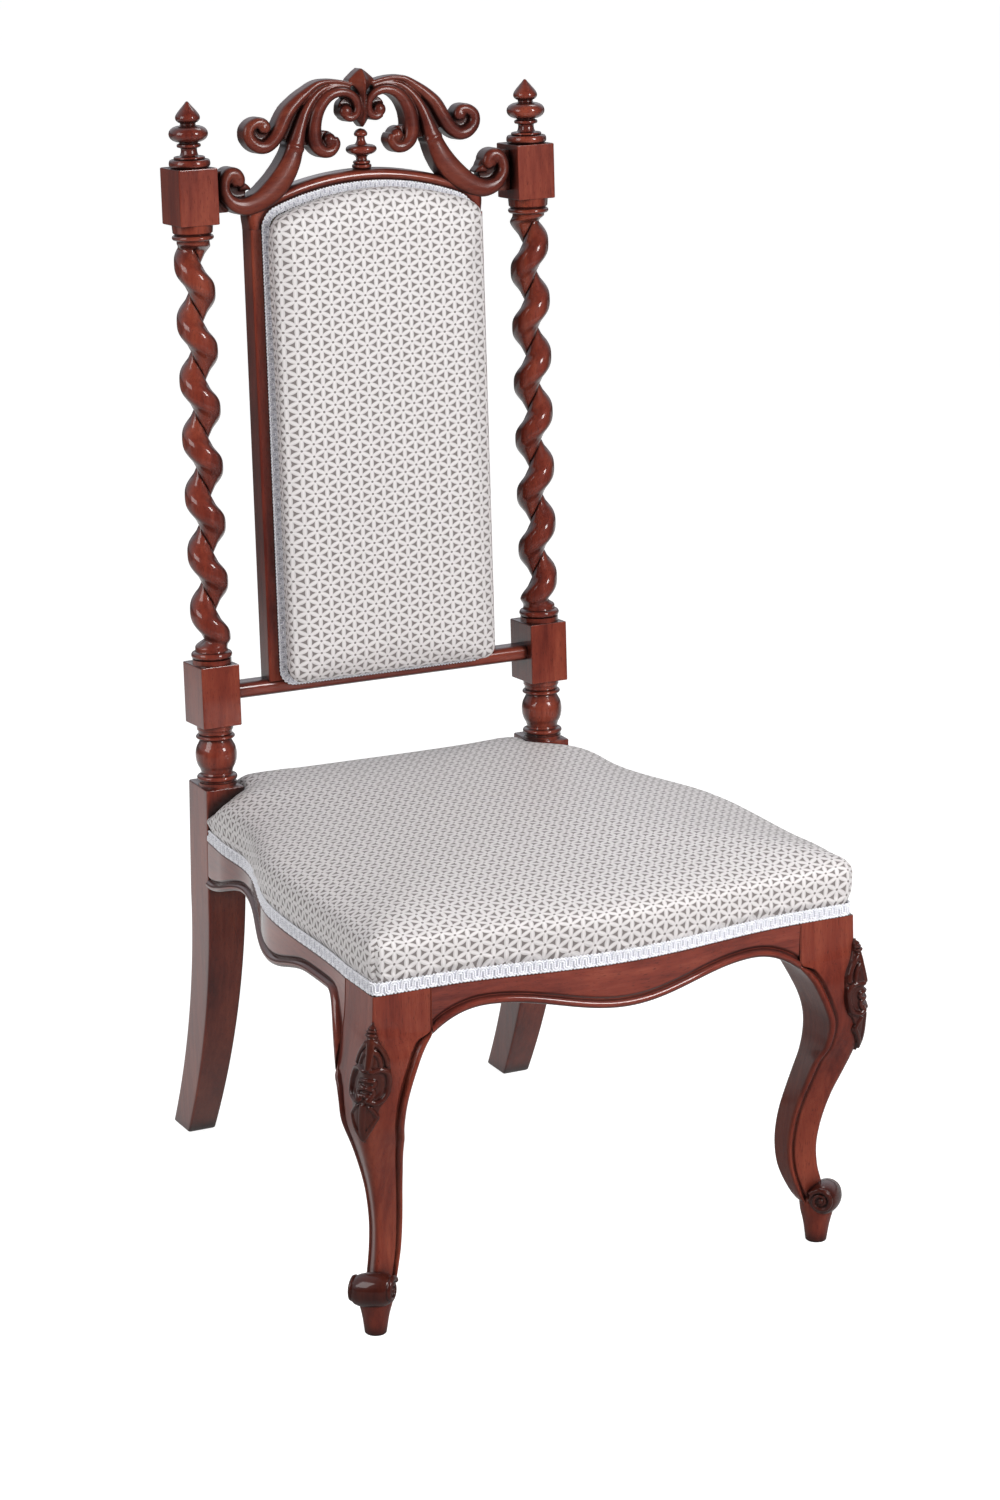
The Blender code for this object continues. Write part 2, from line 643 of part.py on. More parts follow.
def lower_rail_mortise(side, sign):
    ends = sorted((sign * (HALF_SPAN - CUT_THROUGH), sign * (HALF_SPAN + TENON_LENGTH + DOWEL_END_ROOM)))
    low, high = LOWER_RAIL_LOW + TENON_SHOULDER - CLEARANCE, LOWER_RAIL_TOP - TENON_SHOULDER + CLEARANCE
    mesh = to_mesh(tenon_box((ends[0], low), (ends[1], high), CLEARANCE), "mortise")
    return add_cutter(f"mortise_lower_rail_{side}", mesh, TILTED)


# Crest rail

def crest_path(points, sign, steps=STRAND_STEPS):
    flat = [Vector((sign * share * HALF_SPAN, TOP_BLOCK_LOW + height)) for share, height in points]
    return spline(flat, steps)


def strand_rings(path, widths, front, back, room=0.0):
    """Sections along a carved strand: straight sides and a rounded face, tapering from end to end."""
    rings = []
    for i, point in enumerate(path):
        run = path[min(i + 1, len(path) - 1)] - path[max(i - 1, 0)]
        across = Vector((-run.y, run.x)).normalized()
        half = (widths[0] + (widths[1] - widths[0]) * i / (len(path) - 1)) / 2 + room
        shoulder = front - half * STRAND_FALL
        section = ((1.0, back), (1.0, shoulder), (STRAND_FLAT, front))
        section += tuple((-share, forward) for share, forward in reversed(section))
        rings.append([Vector((*(point + across * half * share), forward)) for share, forward in section])
    return [[Vector((p.x, -p.z, p.y)) for p in ring] for ring in rings]


def crest_operands(side, sign):
    """Strands, scroll eyes, ear and tenon of one half of the crest."""
    operands = []
    for name, points in (("a", STRAND_A), ("b", STRAND_B), ("c", STRAND_C)):
        path = crest_path(points, sign)
        rings = strand_rings(path, STRAND_WIDTHS[name], STRAND_FRONTS[name], -STRAND_BACKS[name])
        operands.append(add_cutter(f"strand_{name}_{side}", to_mesh(loft(rings), "strand"), TILTED))
    for i, (share, height, radius, front) in enumerate(SCROLL_EYES):
        x, z = sign * share * HALF_SPAN, TOP_BLOCK_LOW + height
        bm = rod((x, LEAF_BACK, z), (x, -front, z), radius, ROUND_SIDES)
        operands.append(add_cutter(f"scroll_eye_{i}_{side}", to_mesh(bm, "scroll_eye"), TILTED))
    operands.append(add_cutter(f"crest_ear_{side}", to_mesh(crest_ear(sign), "ear"), TILTED))
    operands.append(add_cutter(f"crest_tenon_{side}", to_mesh(crest_tenon(sign), "tenon"), TILTED))
    return operands


def crest_ear(sign):
    """Flat end of the crest that butts against the post's top block."""
    ends = sorted((sign * CREST_EAR_SHARE * HALF_SPAN, sign * (HALF_SPAN - CLEARANCE)))
    half = CREST_EAR_DEPTH / 2
    low, high = TOP_BLOCK_LOW + CREST_EAR_LOW, TOP_BLOCK_LOW + CREST_EAR_HIGH
    return box((ends[0], -half, low), (ends[1], half, high))


def crest_tenon(sign, reach=0.0, room=0.0):
    """Tenon into the top block, grown by the reach and room that its mortise leaves."""
    ends = sorted((sign * CREST_EAR_SHARE * HALF_SPAN, sign * (HALF_SPAN + TENON_LENGTH + reach)))
    half = TENON_THICKNESS / 2 + room
    low = TOP_BLOCK_LOW + CREST_EAR_LOW + TENON_SHOULDER - room
    high = TOP_BLOCK_LOW + CREST_EAR_HIGH - TENON_SHOULDER + room
    return box((ends[0], -half, low), (ends[1], half, high))


def make_crest():
    rings = []
    for height, half, front in CREST_LEAF:
        z = TOP_BLOCK_LOW + height
        edge = -front * LEAF_EDGE_SHARE
        rings.append([Vector((-half, LEAF_BACK, z)), Vector((half, LEAF_BACK, z)), Vector((half, edge, z)),
                      Vector((0, -front, z)), Vector((-half, edge, z))])
    crest = add_part("crest_rail", to_mesh(loft(rings), "crest_leaf"), TILTED, "mahogany")
    for side, sign in SIDES.items():
        for operand in crest_operands(side, sign):
            shape_by(crest, operand, "UNION")
    return crest


def crest_housing(side, sign):
    """Room that the lowest crest scroll takes out of the panel frame's corner."""
    path = crest_path(STRAND_C[5:12], sign)
    widths = STRAND_WIDTHS["c"]
    rings = strand_rings(path, (widths[0], widths[0]), CUT_THROUGH * 2, -CUT_THROUGH, CLEARANCE)
    return add_cutter(f"crest_housing_{side}", to_mesh(loft(rings), "housing"), TILTED)


def make_crest_finial(arch):
    foot = CREST_FINIAL_PROFILE[-1][0]
    radius, length = CREST_FINIAL_SPIGOT_RADIUS, CREST_FINIAL_SPIGOT_LENGTH
    spigot = ((foot, radius), (-length, radius), (-length, 0.0))
    mesh = turned_mesh(CREST_FINIAL_PROFILE + spigot, "crest_finial")
    part = add_part("crest_finial", mesh, TILTED, "mahogany")
    part.location = (0, 0, ARCH_TOP)
    add_screw_turn(part, TURNED_STEPS)
    low, high = ARCH_TOP - length - DOWEL_END_ROOM, ARCH_TOP + length
    bm = rod((0, 0, low), (0, 0, high), radius + CLEARANCE, TURNED_STEPS)
    shape_by(arch, add_cutter("crest_finial_socket", to_mesh(bm, "socket"), TILTED), "DIFFERENCE")


# Back upholstery

def make_back_upholstery():
    bottom = LOWER_RAIL_LOW + BACK_PAD_BOTTOM
    inner_edge = BACK_GIMP_INSET + BACK_GIMP_WIDTH
    gimp_rings = []
    low, high = PANEL_FRONT + CLEARANCE, PANEL_FRONT + CLEARANCE + GIMP_THICKNESS
    outer = panel_outline(BACK_GIMP_INSET, bottom)
    inner = panel_outline(inner_edge, bottom + BACK_GIMP_WIDTH)
    for flat, forward in ((outer, low), (outer, high), (inner, high), (inner, low)):
        gimp_rings.append(on_back(flat, forward))
    add_part("back_gimp", to_mesh(loft(list(zip(*gimp_rings)), ring_closed=True), "gimp"), TILTED, "gimp")

    tacked = inner_edge + BACK_HESSIAN_SETBACK
    sheet = panel_outline(tacked, bottom + tacked - BACK_GIMP_INSET)
    rings = [on_back(sheet, PANEL_FRONT + CLEARANCE), on_back(sheet, BACK_HESSIAN_FRONT)]
    add_part("back_hessian", to_mesh(loft(rings), "hessian"), TILTED, "hessian")

    start = BACK_HESSIAN_FRONT + CLEARANCE
    rings = []
    for forward, distance in BACK_PAD_EDGE:
        edge = inner_edge + CLEARANCE + distance
        rings.append(on_back(panel_outline(edge, bottom + edge - BACK_GIMP_INSET), start + forward))
    middle = Vector((0, (bottom + ARCH_TOP) / 2))
    last = rings[-1]
    centre = Vector((middle.x, 0, middle.y))
    rise = BACK_PAD_CROWN - BACK_PAD_EDGE[-1][0]
    for share in BACK_PAD_RINGS:
        lift = Vector((0, -rise * (1 - share ** 2), 0))
        flat = Vector((centre.x, last[0].y, centre.z))
        rings.append([flat + (p - flat) * share + lift for p in last])
    peak = Vector((centre.x, -start - BACK_PAD_CROWN, centre.z))
    add_part("back_pad", to_mesh(dome(rings, peak), "back_pad"), TILTED, "fabric")

    cover = panel_outline(COVER_INSET, LOWER_RAIL_LOW + COVER_RISE)
    rear = PANEL_BACK - CLEARANCE
    rings = [on_back(cover, rear), on_back(cover, rear - COVER_THICKNESS)]
    add_part("outside_back_cover", to_mesh(loft(rings), "cover"), TILTED, "fabric")


# Front legs

def corner_point(along, across, height, sign):
    """Point by its distances along and across the seat corner's diagonal."""
    x = SEAT_CORNER_X + (along - across) / math.sqrt(2)
    y = SEAT_FRONT_Y - (along + across) / math.sqrt(2)
    return Vector((sign * x, y, height))


def leg_drift(height):
    """Sideways step of the leg off the corner's diagonal, from none at its head to the full offset."""
    share = (LEG_TWIST_HIGH - height / APRON_LOW) / (LEG_TWIST_HIGH - LEG_TWIST_LOW)
    return LEG_OFFSET * smooth_step(share)


def leg_stations():
    """Height, outer arris, inner corner and half breadth of the leg, from its square head down."""
    diagonal = LEG_BLOCK * math.sqrt(2)
    head = [(height, 0.0, -diagonal, diagonal / 2) for height in (RAIL_TOP, APRON_HIGH)]
    return head + [(share * APRON_LOW, *section) for share, *section in LEG_STATIONS]


def leg_section(height):
    """Outer arris, inner corner and half breadth at a height between two stations."""
    stations = leg_stations()
    for high, low in zip(stations, stations[1:]):
        if height >= low[0]:
            share = (height - low[0]) / (high[0] - low[0])
            return [start + (end - start) * share for start, end in zip(low[1:], high[1:])]
    return stations[-1][1:]


def knee_ring(share, half_width, proud, sign):
    """Section of the carved plate that wraps the knee's outer arris."""
    height = share * APRON_LOW
    outer, inner, half = leg_section(height)
    middle = (outer + inner) / 2
    side = outer - half_width * (outer - middle) / half + proud * KNEE_EDGE_SHARE
    drift = leg_drift(height)
    ring = ((outer + proud, 0.0), (side, half_width), (middle, 0.0), (side, -half_width))
    return [corner_point(along, across + drift, height, sign) for along, across in ring]


def leg_ring(height, outer, inner, half, sign):
    """Four-cornered section with a soft outer arris and slightly eased edges."""
    drift = leg_drift(height)
    middle = (outer + inner) / 2
    corners = [Vector((outer, drift)), Vector((middle, half + drift)), Vector((inner, drift)),
               Vector((middle, drift - half))]
    ring = []
    for i, corner in enumerate(corners):
        ease = LEG_ARRIS_ROUND if i == 0 else LEG_EDGE_ROUND
        before = corner + (corners[i - 1] - corner).normalized() * ease
        after = corner + (corners[(i + 1) % 4] - corner).normalized() * ease
        ring += [before, (before + 2 * corner + after) / 4, after]
    return [corner_point(p.x, p.y, height, sign) for p in ring]


def make_front_leg(side, sign):
    """Cabriole leg from its square head to the scrolled toe, standing on a turned peg."""
    rings = [leg_ring(*station, sign) for station in leg_stations()]
    leg = add_part(f"front_leg_{side}", to_mesh(loft(rings), "front_leg"), CHAIR, "mahogany")
    toe = rod(
        corner_point(TOE_REACH, LEG_OFFSET - TOE_WIDTH / 2, TOE_HEIGHT, sign),
        corner_point(TOE_REACH, LEG_OFFSET + TOE_WIDTH / 2, TOE_HEIGHT, sign), TOE_RADIUS, ROUND_SIDES,
    )
    peg = rod(
        corner_point(PEG_REACH, LEG_OFFSET, 0.0, sign), corner_point(PEG_REACH, LEG_OFFSET, PEG_HEIGHT, sign),
        PEG_FOOT_RADIUS, ROUND_SIDES, PEG_TOP_RADIUS,
    )
    knee = loft([knee_ring(*section, sign) for section in KNEE_PLATE])
    for name, bm in (("toe", toe), ("peg", peg), ("knee", knee)):
        shape_by(leg, add_cutter(f"{name}_{side}", to_mesh(bm, name), CHAIR), "UNION")
    return leg


# Seat rails

def front_face(x):
    """Y of the serpentine front face at a distance from the centre plane."""
    return SEAT_FRONT_Y - FRONT_BOW * math.cos(min(abs(x) / LEG_INNER_X, 1.0) * math.pi / 2) ** 2


def side_line(share):
    """Straight line of the side, from the post's outer face to the front leg's back, as x and y."""
    x = POST_OUTER + (SEAT_CORNER_X - POST_OUTER) * share
    y = POST_FRONT + (LEG_BACK_Y - POST_FRONT) * share
    return Vector((x, y))


def side_face(share):
    """Serpentine outer face of the side rail at a share of the way forward from the post."""
    knots = ((0.0, 0.0), (SIDE_HOLLOW_AT, -SIDE_HOLLOW), (SIDE_SWELL_AT, SIDE_SWELL), (1.0, 0.0))
    return side_line(share) + Vector((through(knots, share), 0))


def front_apron(share):
    """Lower edge of the front rail at a share of the way from the centre to the leg."""
    return through(((0.0, APRON_LOW), (FRONT_RISE_AT, APRON_HIGH), (1.0, APRON_LOW)), share)


def side_apron(share):
    """Lower edge of a side rail at a share of the way forward from the post."""
    heights = (APRON_LOW, APRON_HIGH, APRON_LOW, APRON_HIGH, APRON_LOW)
    return through(tuple(zip((0.0, *SIDE_TURNS_AT, 1.0), heights)), share)


def rail_ring(outer, inner, low):
    corners = ((outer, low), (outer, RAIL_TOP), (inner, RAIL_TOP), (inner, low))
    return [Vector((*point, height)) for point, height in corners]


def make_front_rail():
    rings = []
    reach = LEG_INNER_X - CLEARANCE
    for i in range(RAIL_STEPS + 1):
        x = reach * (2 * i / RAIL_STEPS - 1)
        rings.append(rail_ring((x, front_face(x)), (x, FRONT_INNER_Y), front_apron(abs(x) / reach)))
    return add_part("front_rail", to_mesh(loft(rings), "front_rail"), CHAIR, "mahogany")


def make_side_rail(side, sign):
    rings = []
    length = POST_FRONT - LEG_BACK_Y
    for i in range(RAIL_STEPS + 1):
        share = (CLEARANCE + (length - 2 * CLEARANCE) * i / RAIL_STEPS) / length
        outer, inner = side_face(share), side_line(share) - Vector((RAIL_THICKNESS, 0))
        rings.append(rail_ring((sign * outer.x, outer.y), (sign * inner.x, inner.y), side_apron(share)))
    return add_part(f"side_rail_{side}", to_mesh(loft(rings), "side_rail"), CHAIR, "mahogany")


def make_rear_rail():
    reach = HALF_SPAN - CLEARANCE
    bm = box((-reach, REAR_RAIL_FRONT, APRON_LOW), (reach, REAR_RAIL_BACK, RAIL_TOP))
    return add_part("rear_rail", to_mesh(bm, "rear_rail"), CHAIR, "mahogany")


# Dowels, corner blocks and screws

def add_dowel_pair(name, point, axis, parts):
    """Two dowels across a joint, each in a bore through both pieces."""
    axis = Vector(axis)
    for i, drop in enumerate(DOWEL_DROPS):
        centre = Vector((*point, RAIL_TOP - drop))
        half = axis * DOWEL_LENGTH / 2
        bm = rod(centre - half, centre + half, DOWEL_RADIUS, DOWEL_SIDES)
        add_part(f"dowel_{name}_{i + 1}", to_mesh(bm, "dowel"), CHAIR, "beech")
        half = axis * (DOWEL_LENGTH / 2 + DOWEL_END_ROOM)
        bm = rod(centre - half, centre + half, DOWEL_RADIUS + CLEARANCE, DOWEL_SIDES)
        bore = add_cutter(f"bore_{name}_{i + 1}", to_mesh(bm, "bore"), CHAIR)
        for part in parts:
            shape_by(part, bore, "DIFFERENCE")


def brace_outline(side_end, sign):
    """Plan of a corner block fitted round the leg or post, between the two rails' inner faces."""
    gap = CLEARANCE
    if side_end == "front":
        rail_y, step_y, step_x, way = FRONT_INNER_Y + gap, LEG_BACK_Y + gap, LEG_INNER_X - gap, 1
        near_share = 1.0
    else:
        rail_y, step_y, step_x, way = REAR_RAIL_FRONT - gap, POST_FRONT - gap, HALF_SPAN - gap, -1
        near_share = 0.0
    length = POST_FRONT - LEG_BACK_Y
    far_share = near_share - way * BRACE_REACH / length
    inward = Vector((RAIL_THICKNESS + gap, 0))
    near, far = side_line(near_share) - inward, side_line(far_share) - inward
    near.y = step_y
    step = [Vector((step_x, step_y)), Vector((step_x, rail_y))]
    points = [far, near, *step, Vector((step_x - BRACE_REACH, rail_y))]
    return [Vector((sign * p.x, p.y)) for p in points]


def screw_rings(tip, axis, radius, head_radius, room):
    """Countersunk screw as a round bar that flares to its head, seen from its tip."""
    length = SCREW_LENGTH + room
    steps = ((-room, radius), (length - SCREW_HEAD_HEIGHT - room, radius), (length - room, head_radius))
    turn = Vector((0, 0, 1)).rotation_difference(axis).to_matrix()
    rings = []
    for along, size in steps:
        angles = [2 * math.pi * i / SCREW_SIDES for i in range(SCREW_SIDES)]
        rings.append([tip + turn @ Vector((size * math.cos(a), size * math.sin(a), along)) for a in angles])
    return rings


def make_corner_block(end, side, sign, rails):
    outline = brace_outline(end, sign)
    rings = [[Vector((*p, z)) for p in outline] for z in (BRACE_LOW, BRACE_HIGH)]
    block = add_part(f"corner_block_{end}_{side}", to_mesh(loft(rings), "corner_block"), CHAIR, "beech")
    far, cross_end = outline[0], outline[-1]
    face = (far - cross_end).normalized()
    middle = (BRACE_LOW + BRACE_HIGH) / 2
    for i, (corner, direction) in enumerate(((far, -face), (cross_end, face))):
        head = Vector((*(corner + direction * SCREW_SETBACK), middle))
        into = Vector((sign, 0, 0)) if i == 0 else Vector((0, -1 if end == "front" else 1, 0))
        tip = head + into * (SCREW_LENGTH - CLEARANCE)
        rings = screw_rings(tip, -into, SCREW_RADIUS, SCREW_HEAD_RADIUS, 0.0)
        add_part(f"screw_{end}_{side}_{i + 1}", to_mesh(loft(rings), "screw"), CHAIR, "steel")
        hole_radius, mouth_radius = SCREW_RADIUS + CLEARANCE, SCREW_HEAD_RADIUS + CLEARANCE
        grown = screw_rings(tip, -into, hole_radius, mouth_radius, DOWEL_END_ROOM)
        hole = add_cutter(f"screw_hole_{end}_{side}_{i + 1}", to_mesh(loft(grown), "screw_hole"), CHAIR)
        mouth = rod(tip - into * SCREW_LENGTH, tip - into * (SCREW_LENGTH + CUT_THROUGH), mouth_radius,
                    SCREW_SIDES)
        access = add_cutter(f"screw_mouth_{end}_{side}_{i + 1}", to_mesh(mouth, "screw_mouth"), CHAIR)
        shape_by(block, hole, "DIFFERENCE")
        shape_by(block, access, "DIFFERENCE")
        shape_by(rails[i], hole, "DIFFERENCE")


# Seat upholstery

def seat_edge():
    """Outer line of the seat from the right post round the front to the left post."""
    half = []
    steps = RAIL_STEPS // 2
    for i in range(steps + 1):
        half.append(side_face(i / steps))
    corner = Vector((SEAT_CORNER_X, SEAT_FRONT_Y))
    arc_middle = SEAT_CORNER_ROUND * (1 - math.sqrt(0.5))
    half += [corner + Vector((0, SEAT_CORNER_ROUND)), corner + Vector((-arc_middle, arc_middle)),
             corner + Vector((-SEAT_CORNER_ROUND, 0))]
    for i in range(steps):
        x = LEG_INNER_X * (1 - i / steps)
        half.append(Vector((x, front_face(x))))
    half[0].y -= CLEARANCE
    centre = Vector((0, front_face(0)))
    return half + [centre] + [Vector((-p.x, p.y)) for p in reversed(half)]


def seat_outline():
    """Closed plan of the stuffed seat, notched round the posts."""
    step = HALF_SPAN - CLEARANCE
    edge = seat_edge()
    notch = [Vector((step, POST_FRONT - CLEARANCE)), Vector((step, REAR_RAIL_BACK))]
    left = [Vector((-p.x, p.y)) for p in notch]
    return edge + left + [Vector((0, REAR_RAIL_BACK))] + list(reversed(notch))


def seat_ring(distance, height):
    return [Vector((*p, height)) for p in inset(seat_outline(), -distance, True)]


def make_seat_upholstery():
    edge = seat_edge()
    inner = inset(edge, -GIMP_THICKNESS, False)
    low, high = RAIL_TOP + CLEARANCE, RAIL_TOP + CLEARANCE + SEAT_GIMP_HEIGHT
    rings = [[Vector((*o, low)), Vector((*o, high)), Vector((*i, high)), Vector((*i, low))]
             for o, i in zip(edge, inner)]
    add_part("seat_gimp", to_mesh(loft(rings), "gimp"), CHAIR, "gimp")

    rings = [seat_ring(HESSIAN_SETBACK, HESSIAN_LOW + rise) for rise in (0.0, HESSIAN_THICKNESS)]
    add_part("seat_hessian", to_mesh(loft(rings), "hessian"), CHAIR, "hessian")

    rings = [seat_ring(distance, PAD_LOW + height) for height, distance in PAD_SIDE]
    last = rings[-1]
    centre = Vector((0, (SEAT_FRONT_Y + POST_FRONT) / 2, last[0].z))
    rise = PAD_CROWN - PAD_SIDE[-1][0]
    for share in PAD_CROWN_RINGS:
        lift = Vector((0, 0, rise * (1 - share ** 2)))
        rings.append([centre + (p - centre) * share + lift for p in last])
    peak = centre + Vector((0, 0, rise))
    add_part("seat_pad", to_mesh(dome(rings, peak), "seat_pad"), CHAIR, "fabric")


def strap_rings(stops, levels, place):
    """Flat strap along a row of places and heights."""
    rings = []
    for stop, level in zip(stops, levels):
        rings.append([place(stop, -STRAP_WIDTH / 2, level), place(stop, STRAP_WIDTH / 2, level),
                      place(stop, STRAP_WIDTH / 2, level + STRAP_THICKNESS),
                      place(stop, -STRAP_WIDTH / 2, level + STRAP_THICKNESS)])
    return rings


def strap_course(start, end, crossings):
    """Places and heights of a strap that rides over some crossings and under the others."""
    stops, levels = [start], [STRAP_LOW]
    flat = STRAP_WIDTH / 2 + 2 * CLEARANCE
    for centre, over in crossings:
        if over:
            stops += [centre - flat - STRAP_SLOPE, centre - flat, centre + flat, centre + flat + STRAP_SLOPE]
            levels += [STRAP_LOW, STRAP_HIGH, STRAP_HIGH, STRAP_LOW]
    return stops + [end], levels + [STRAP_LOW]


def side_inner_x(y):
    share = (POST_FRONT - y) / (POST_FRONT - LEG_BACK_Y)
    return side_line(share).x - RAIL_THICKNESS


def make_webbing():
    front, rear = FRONT_INNER_Y - STRAP_BEARING, REAR_RAIL_FRONT + STRAP_BEARING
    for i, x in enumerate(STRAP_X):
        stops, levels = strap_course(front, rear, [(y, (i + j) % 2 == 0) for j, y in enumerate(STRAP_Y)])
        rings = strap_rings(stops, levels, lambda along, across, z, x=x: Vector((x + across, along, z)))
        add_part(f"webbing_long_{i + 1}", to_mesh(loft(rings), "webbing"), CHAIR, "webbing")
    for j, y in enumerate(STRAP_Y):
        reach = side_inner_x(y) + STRAP_BEARING
        stops, levels = strap_course(-reach, reach, [(x, (i + j) % 2 == 1) for i, x in enumerate(STRAP_X)])
        rings = strap_rings(stops, levels, lambda along, across, z, y=y: Vector((along, y + across, z)))
        add_part(f"webbing_cross_{j + 1}", to_mesh(loft(rings), "webbing"), CHAIR, "webbing")


# Colour, roughness and metallic value of each finish
FINISHES = {
    "mahogany": ((0.120, 0.032, 0.018), 0.22),
    "beech": ((0.420, 0.270, 0.140), 0.60),
    "fabric": ((0.620, 0.600, 0.590), 0.75),
    "gimp": ((0.700, 0.680, 0.710), 0.70),
    "hessian": ((0.380, 0.270, 0.150), 0.90),
    "webbing": ((0.300, 0.220, 0.130), 0.85),
    "steel": ((0.450, 0.440, 0.430), 0.40, 1.0),
}

clear_scene()
PARTS = new_collection("hall_chair")
CUTTERS = new_collection("cutters")
CHAIR = new_empty("chair_frame", Matrix.Translation((0, -(BOX_FRONT + BOX_REAR) / 2, 0)))
TILTED = new_empty("back_frame", BACK, CHAIR)

posts = {side: make_post(side, sign) for side, sign in SIDES.items()}
legs = {side: make_front_leg(side, sign) for side, sign in SIDES.items()}
front_rail = make_front_rail()
rear_rail = make_rear_rail()
side_rails = {side: make_side_rail(side, sign) for side, sign in SIDES.items()}
crest = make_crest()
arch_rail = make_arch_rail()
lower_rail = make_lower_rail()
make_crest_finial(arch_rail)

for side, sign in SIDES.items():
    make_finial(side, sign)
    foot_mortise, head_mortise = make_stile(side, sign)
    shape_by(lower_rail, foot_mortise, "DIFFERENCE")
    shape_by(arch_rail, head_mortise, "DIFFERENCE")
    shape_by(arch_rail, crest_housing(side, sign), "DIFFERENCE")
    shape_by(posts[side], lower_rail_mortise(side, sign), "DIFFERENCE")
    mortise = to_mesh(crest_tenon(sign, DOWEL_END_ROOM, CLEARANCE), "mortise")
    shape_by(posts[side], add_cutter(f"mortise_crest_{side}", mortise, TILTED), "DIFFERENCE")

    post, leg, side_rail = posts[side], legs[side], side_rails[side]
    front_y = (SEAT_FRONT_Y + FRONT_INNER_Y) / 2
    leg_x = SEAT_CORNER_X - RAIL_THICKNESS / 2
    post_x = POST_OUTER - RAIL_THICKNESS / 2
    add_dowel_pair(f"front_{side}", (sign * LEG_INNER_X, front_y), (1, 0, 0), (front_rail, leg))
    add_dowel_pair(f"side_front_{side}", (sign * leg_x, LEG_BACK_Y), (0, 1, 0), (side_rail, leg))
    add_dowel_pair(f"side_rear_{side}", (sign * post_x, POST_FRONT), (0, 1, 0), (side_rail, post))
    add_dowel_pair(f"rear_{side}", (sign * HALF_SPAN, POST_Y), (1, 0, 0), (rear_rail, post))
    make_corner_block("front", side, sign, (side_rail, front_rail))
    make_corner_block("rear", side, sign, (side_rail, rear_rail))

make_back_upholstery()
make_webbing()
make_seat_upholstery()
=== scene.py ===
import math

import bmesh
import bpy
import numpy as np
from mathutils import Matrix, Vector


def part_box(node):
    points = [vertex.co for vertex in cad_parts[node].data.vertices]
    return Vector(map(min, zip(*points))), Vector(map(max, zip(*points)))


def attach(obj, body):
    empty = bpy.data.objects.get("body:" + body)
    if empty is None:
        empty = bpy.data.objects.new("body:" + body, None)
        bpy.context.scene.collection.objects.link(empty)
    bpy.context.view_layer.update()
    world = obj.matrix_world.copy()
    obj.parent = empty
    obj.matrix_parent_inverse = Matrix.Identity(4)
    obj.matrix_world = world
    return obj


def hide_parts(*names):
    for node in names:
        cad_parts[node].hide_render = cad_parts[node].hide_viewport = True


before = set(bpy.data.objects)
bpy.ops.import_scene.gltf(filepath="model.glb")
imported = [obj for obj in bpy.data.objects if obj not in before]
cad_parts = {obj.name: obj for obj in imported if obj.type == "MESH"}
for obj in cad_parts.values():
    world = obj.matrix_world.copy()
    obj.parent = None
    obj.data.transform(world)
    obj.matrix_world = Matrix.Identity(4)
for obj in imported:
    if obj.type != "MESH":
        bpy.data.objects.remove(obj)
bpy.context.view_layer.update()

# Sizes in metres, as in the CAD source
POST_X = 0.1879
POST_Y = 0.2148
POST_BLOCK = 0.042
BACK_LEAN = math.radians(4.11)
LOW_BLOCK_TOP = 0.4011
VASE_HEIGHT = 0.0626
MID_BLOCK_HEIGHT = 0.0633
LOWER_COLLAR_HEIGHT = 0.017
TWIST_LENGTH = 0.4095
UPPER_COLLAR_HEIGHT = 0.0175
TOP_BLOCK_HEIGHT = 0.0562
NECK_RADIUS = 0.0165
TWIST_TURNS = 7
TWIST_START = math.radians(30)
TWIST_RUN_IN = 0.008
STRAND_CENTRE_RADIUS = 0.0066
STRAND_DEPTH_RADIUS = 0.0134
STRAND_WIDTH_RADIUS = 0.0159
VALLEY_CUT = 0.0024
VALLEY_FILL = 0.0010
# Angles from the valley's bottom: spread of its cut, place and spread of the fill beside it
VALLEY_SPREAD = 0.16
VALLEY_FILL_PLACE = 0.9
VALLEY_FILL_SPREAD = 0.45
SWEEP_START = 0.280
SWEEP_REACH = 0.0755
SWEEP_POWER = 1.9
FOOT_WIDTH = 0.031
FOOT_DEPTH = 0.0386

PANEL_HALF_WIDTH = 0.130
PANEL_ARCH_RISE = 0.0431
PANEL_ARCH_RADIUS = 0.300
PANEL_CORNER_RADIUS = 0.035
PANEL_RAIL_WIDTH = 0.028
PANEL_FRONT = 0.011
PANEL_BACK = -0.0105
LOWER_RAIL_HEIGHT = 0.0165
LOWER_RAIL_RISE = 0.0239

RAIL_TOP = 0.3475
RAIL_THICKNESS = 0.024
APRON_LOW = 0.303
APRON_HIGH = 0.3225
SEAT_CORNER_X = 0.258
SEAT_FRONT_Y = -0.2958
FRONT_BOW = 0.020
FRONT_INNER_Y = -0.270
LEG_BLOCK = 0.060
PAD_LOW = 0.3537
SEAT_GIMP_LOW = 0.3478
SEAT_GIMP_HEIGHT = 0.0125
SEAT_CORNER_ROUND = 0.008
BACK_GIMP_WIDTH = 0.0085
BACK_GIMP_INSET = 0.0115
BACK_PAD_BOTTOM = 0.0085
BACK_PAD_CORNER = 0.012
CLEARANCE = 0.0003

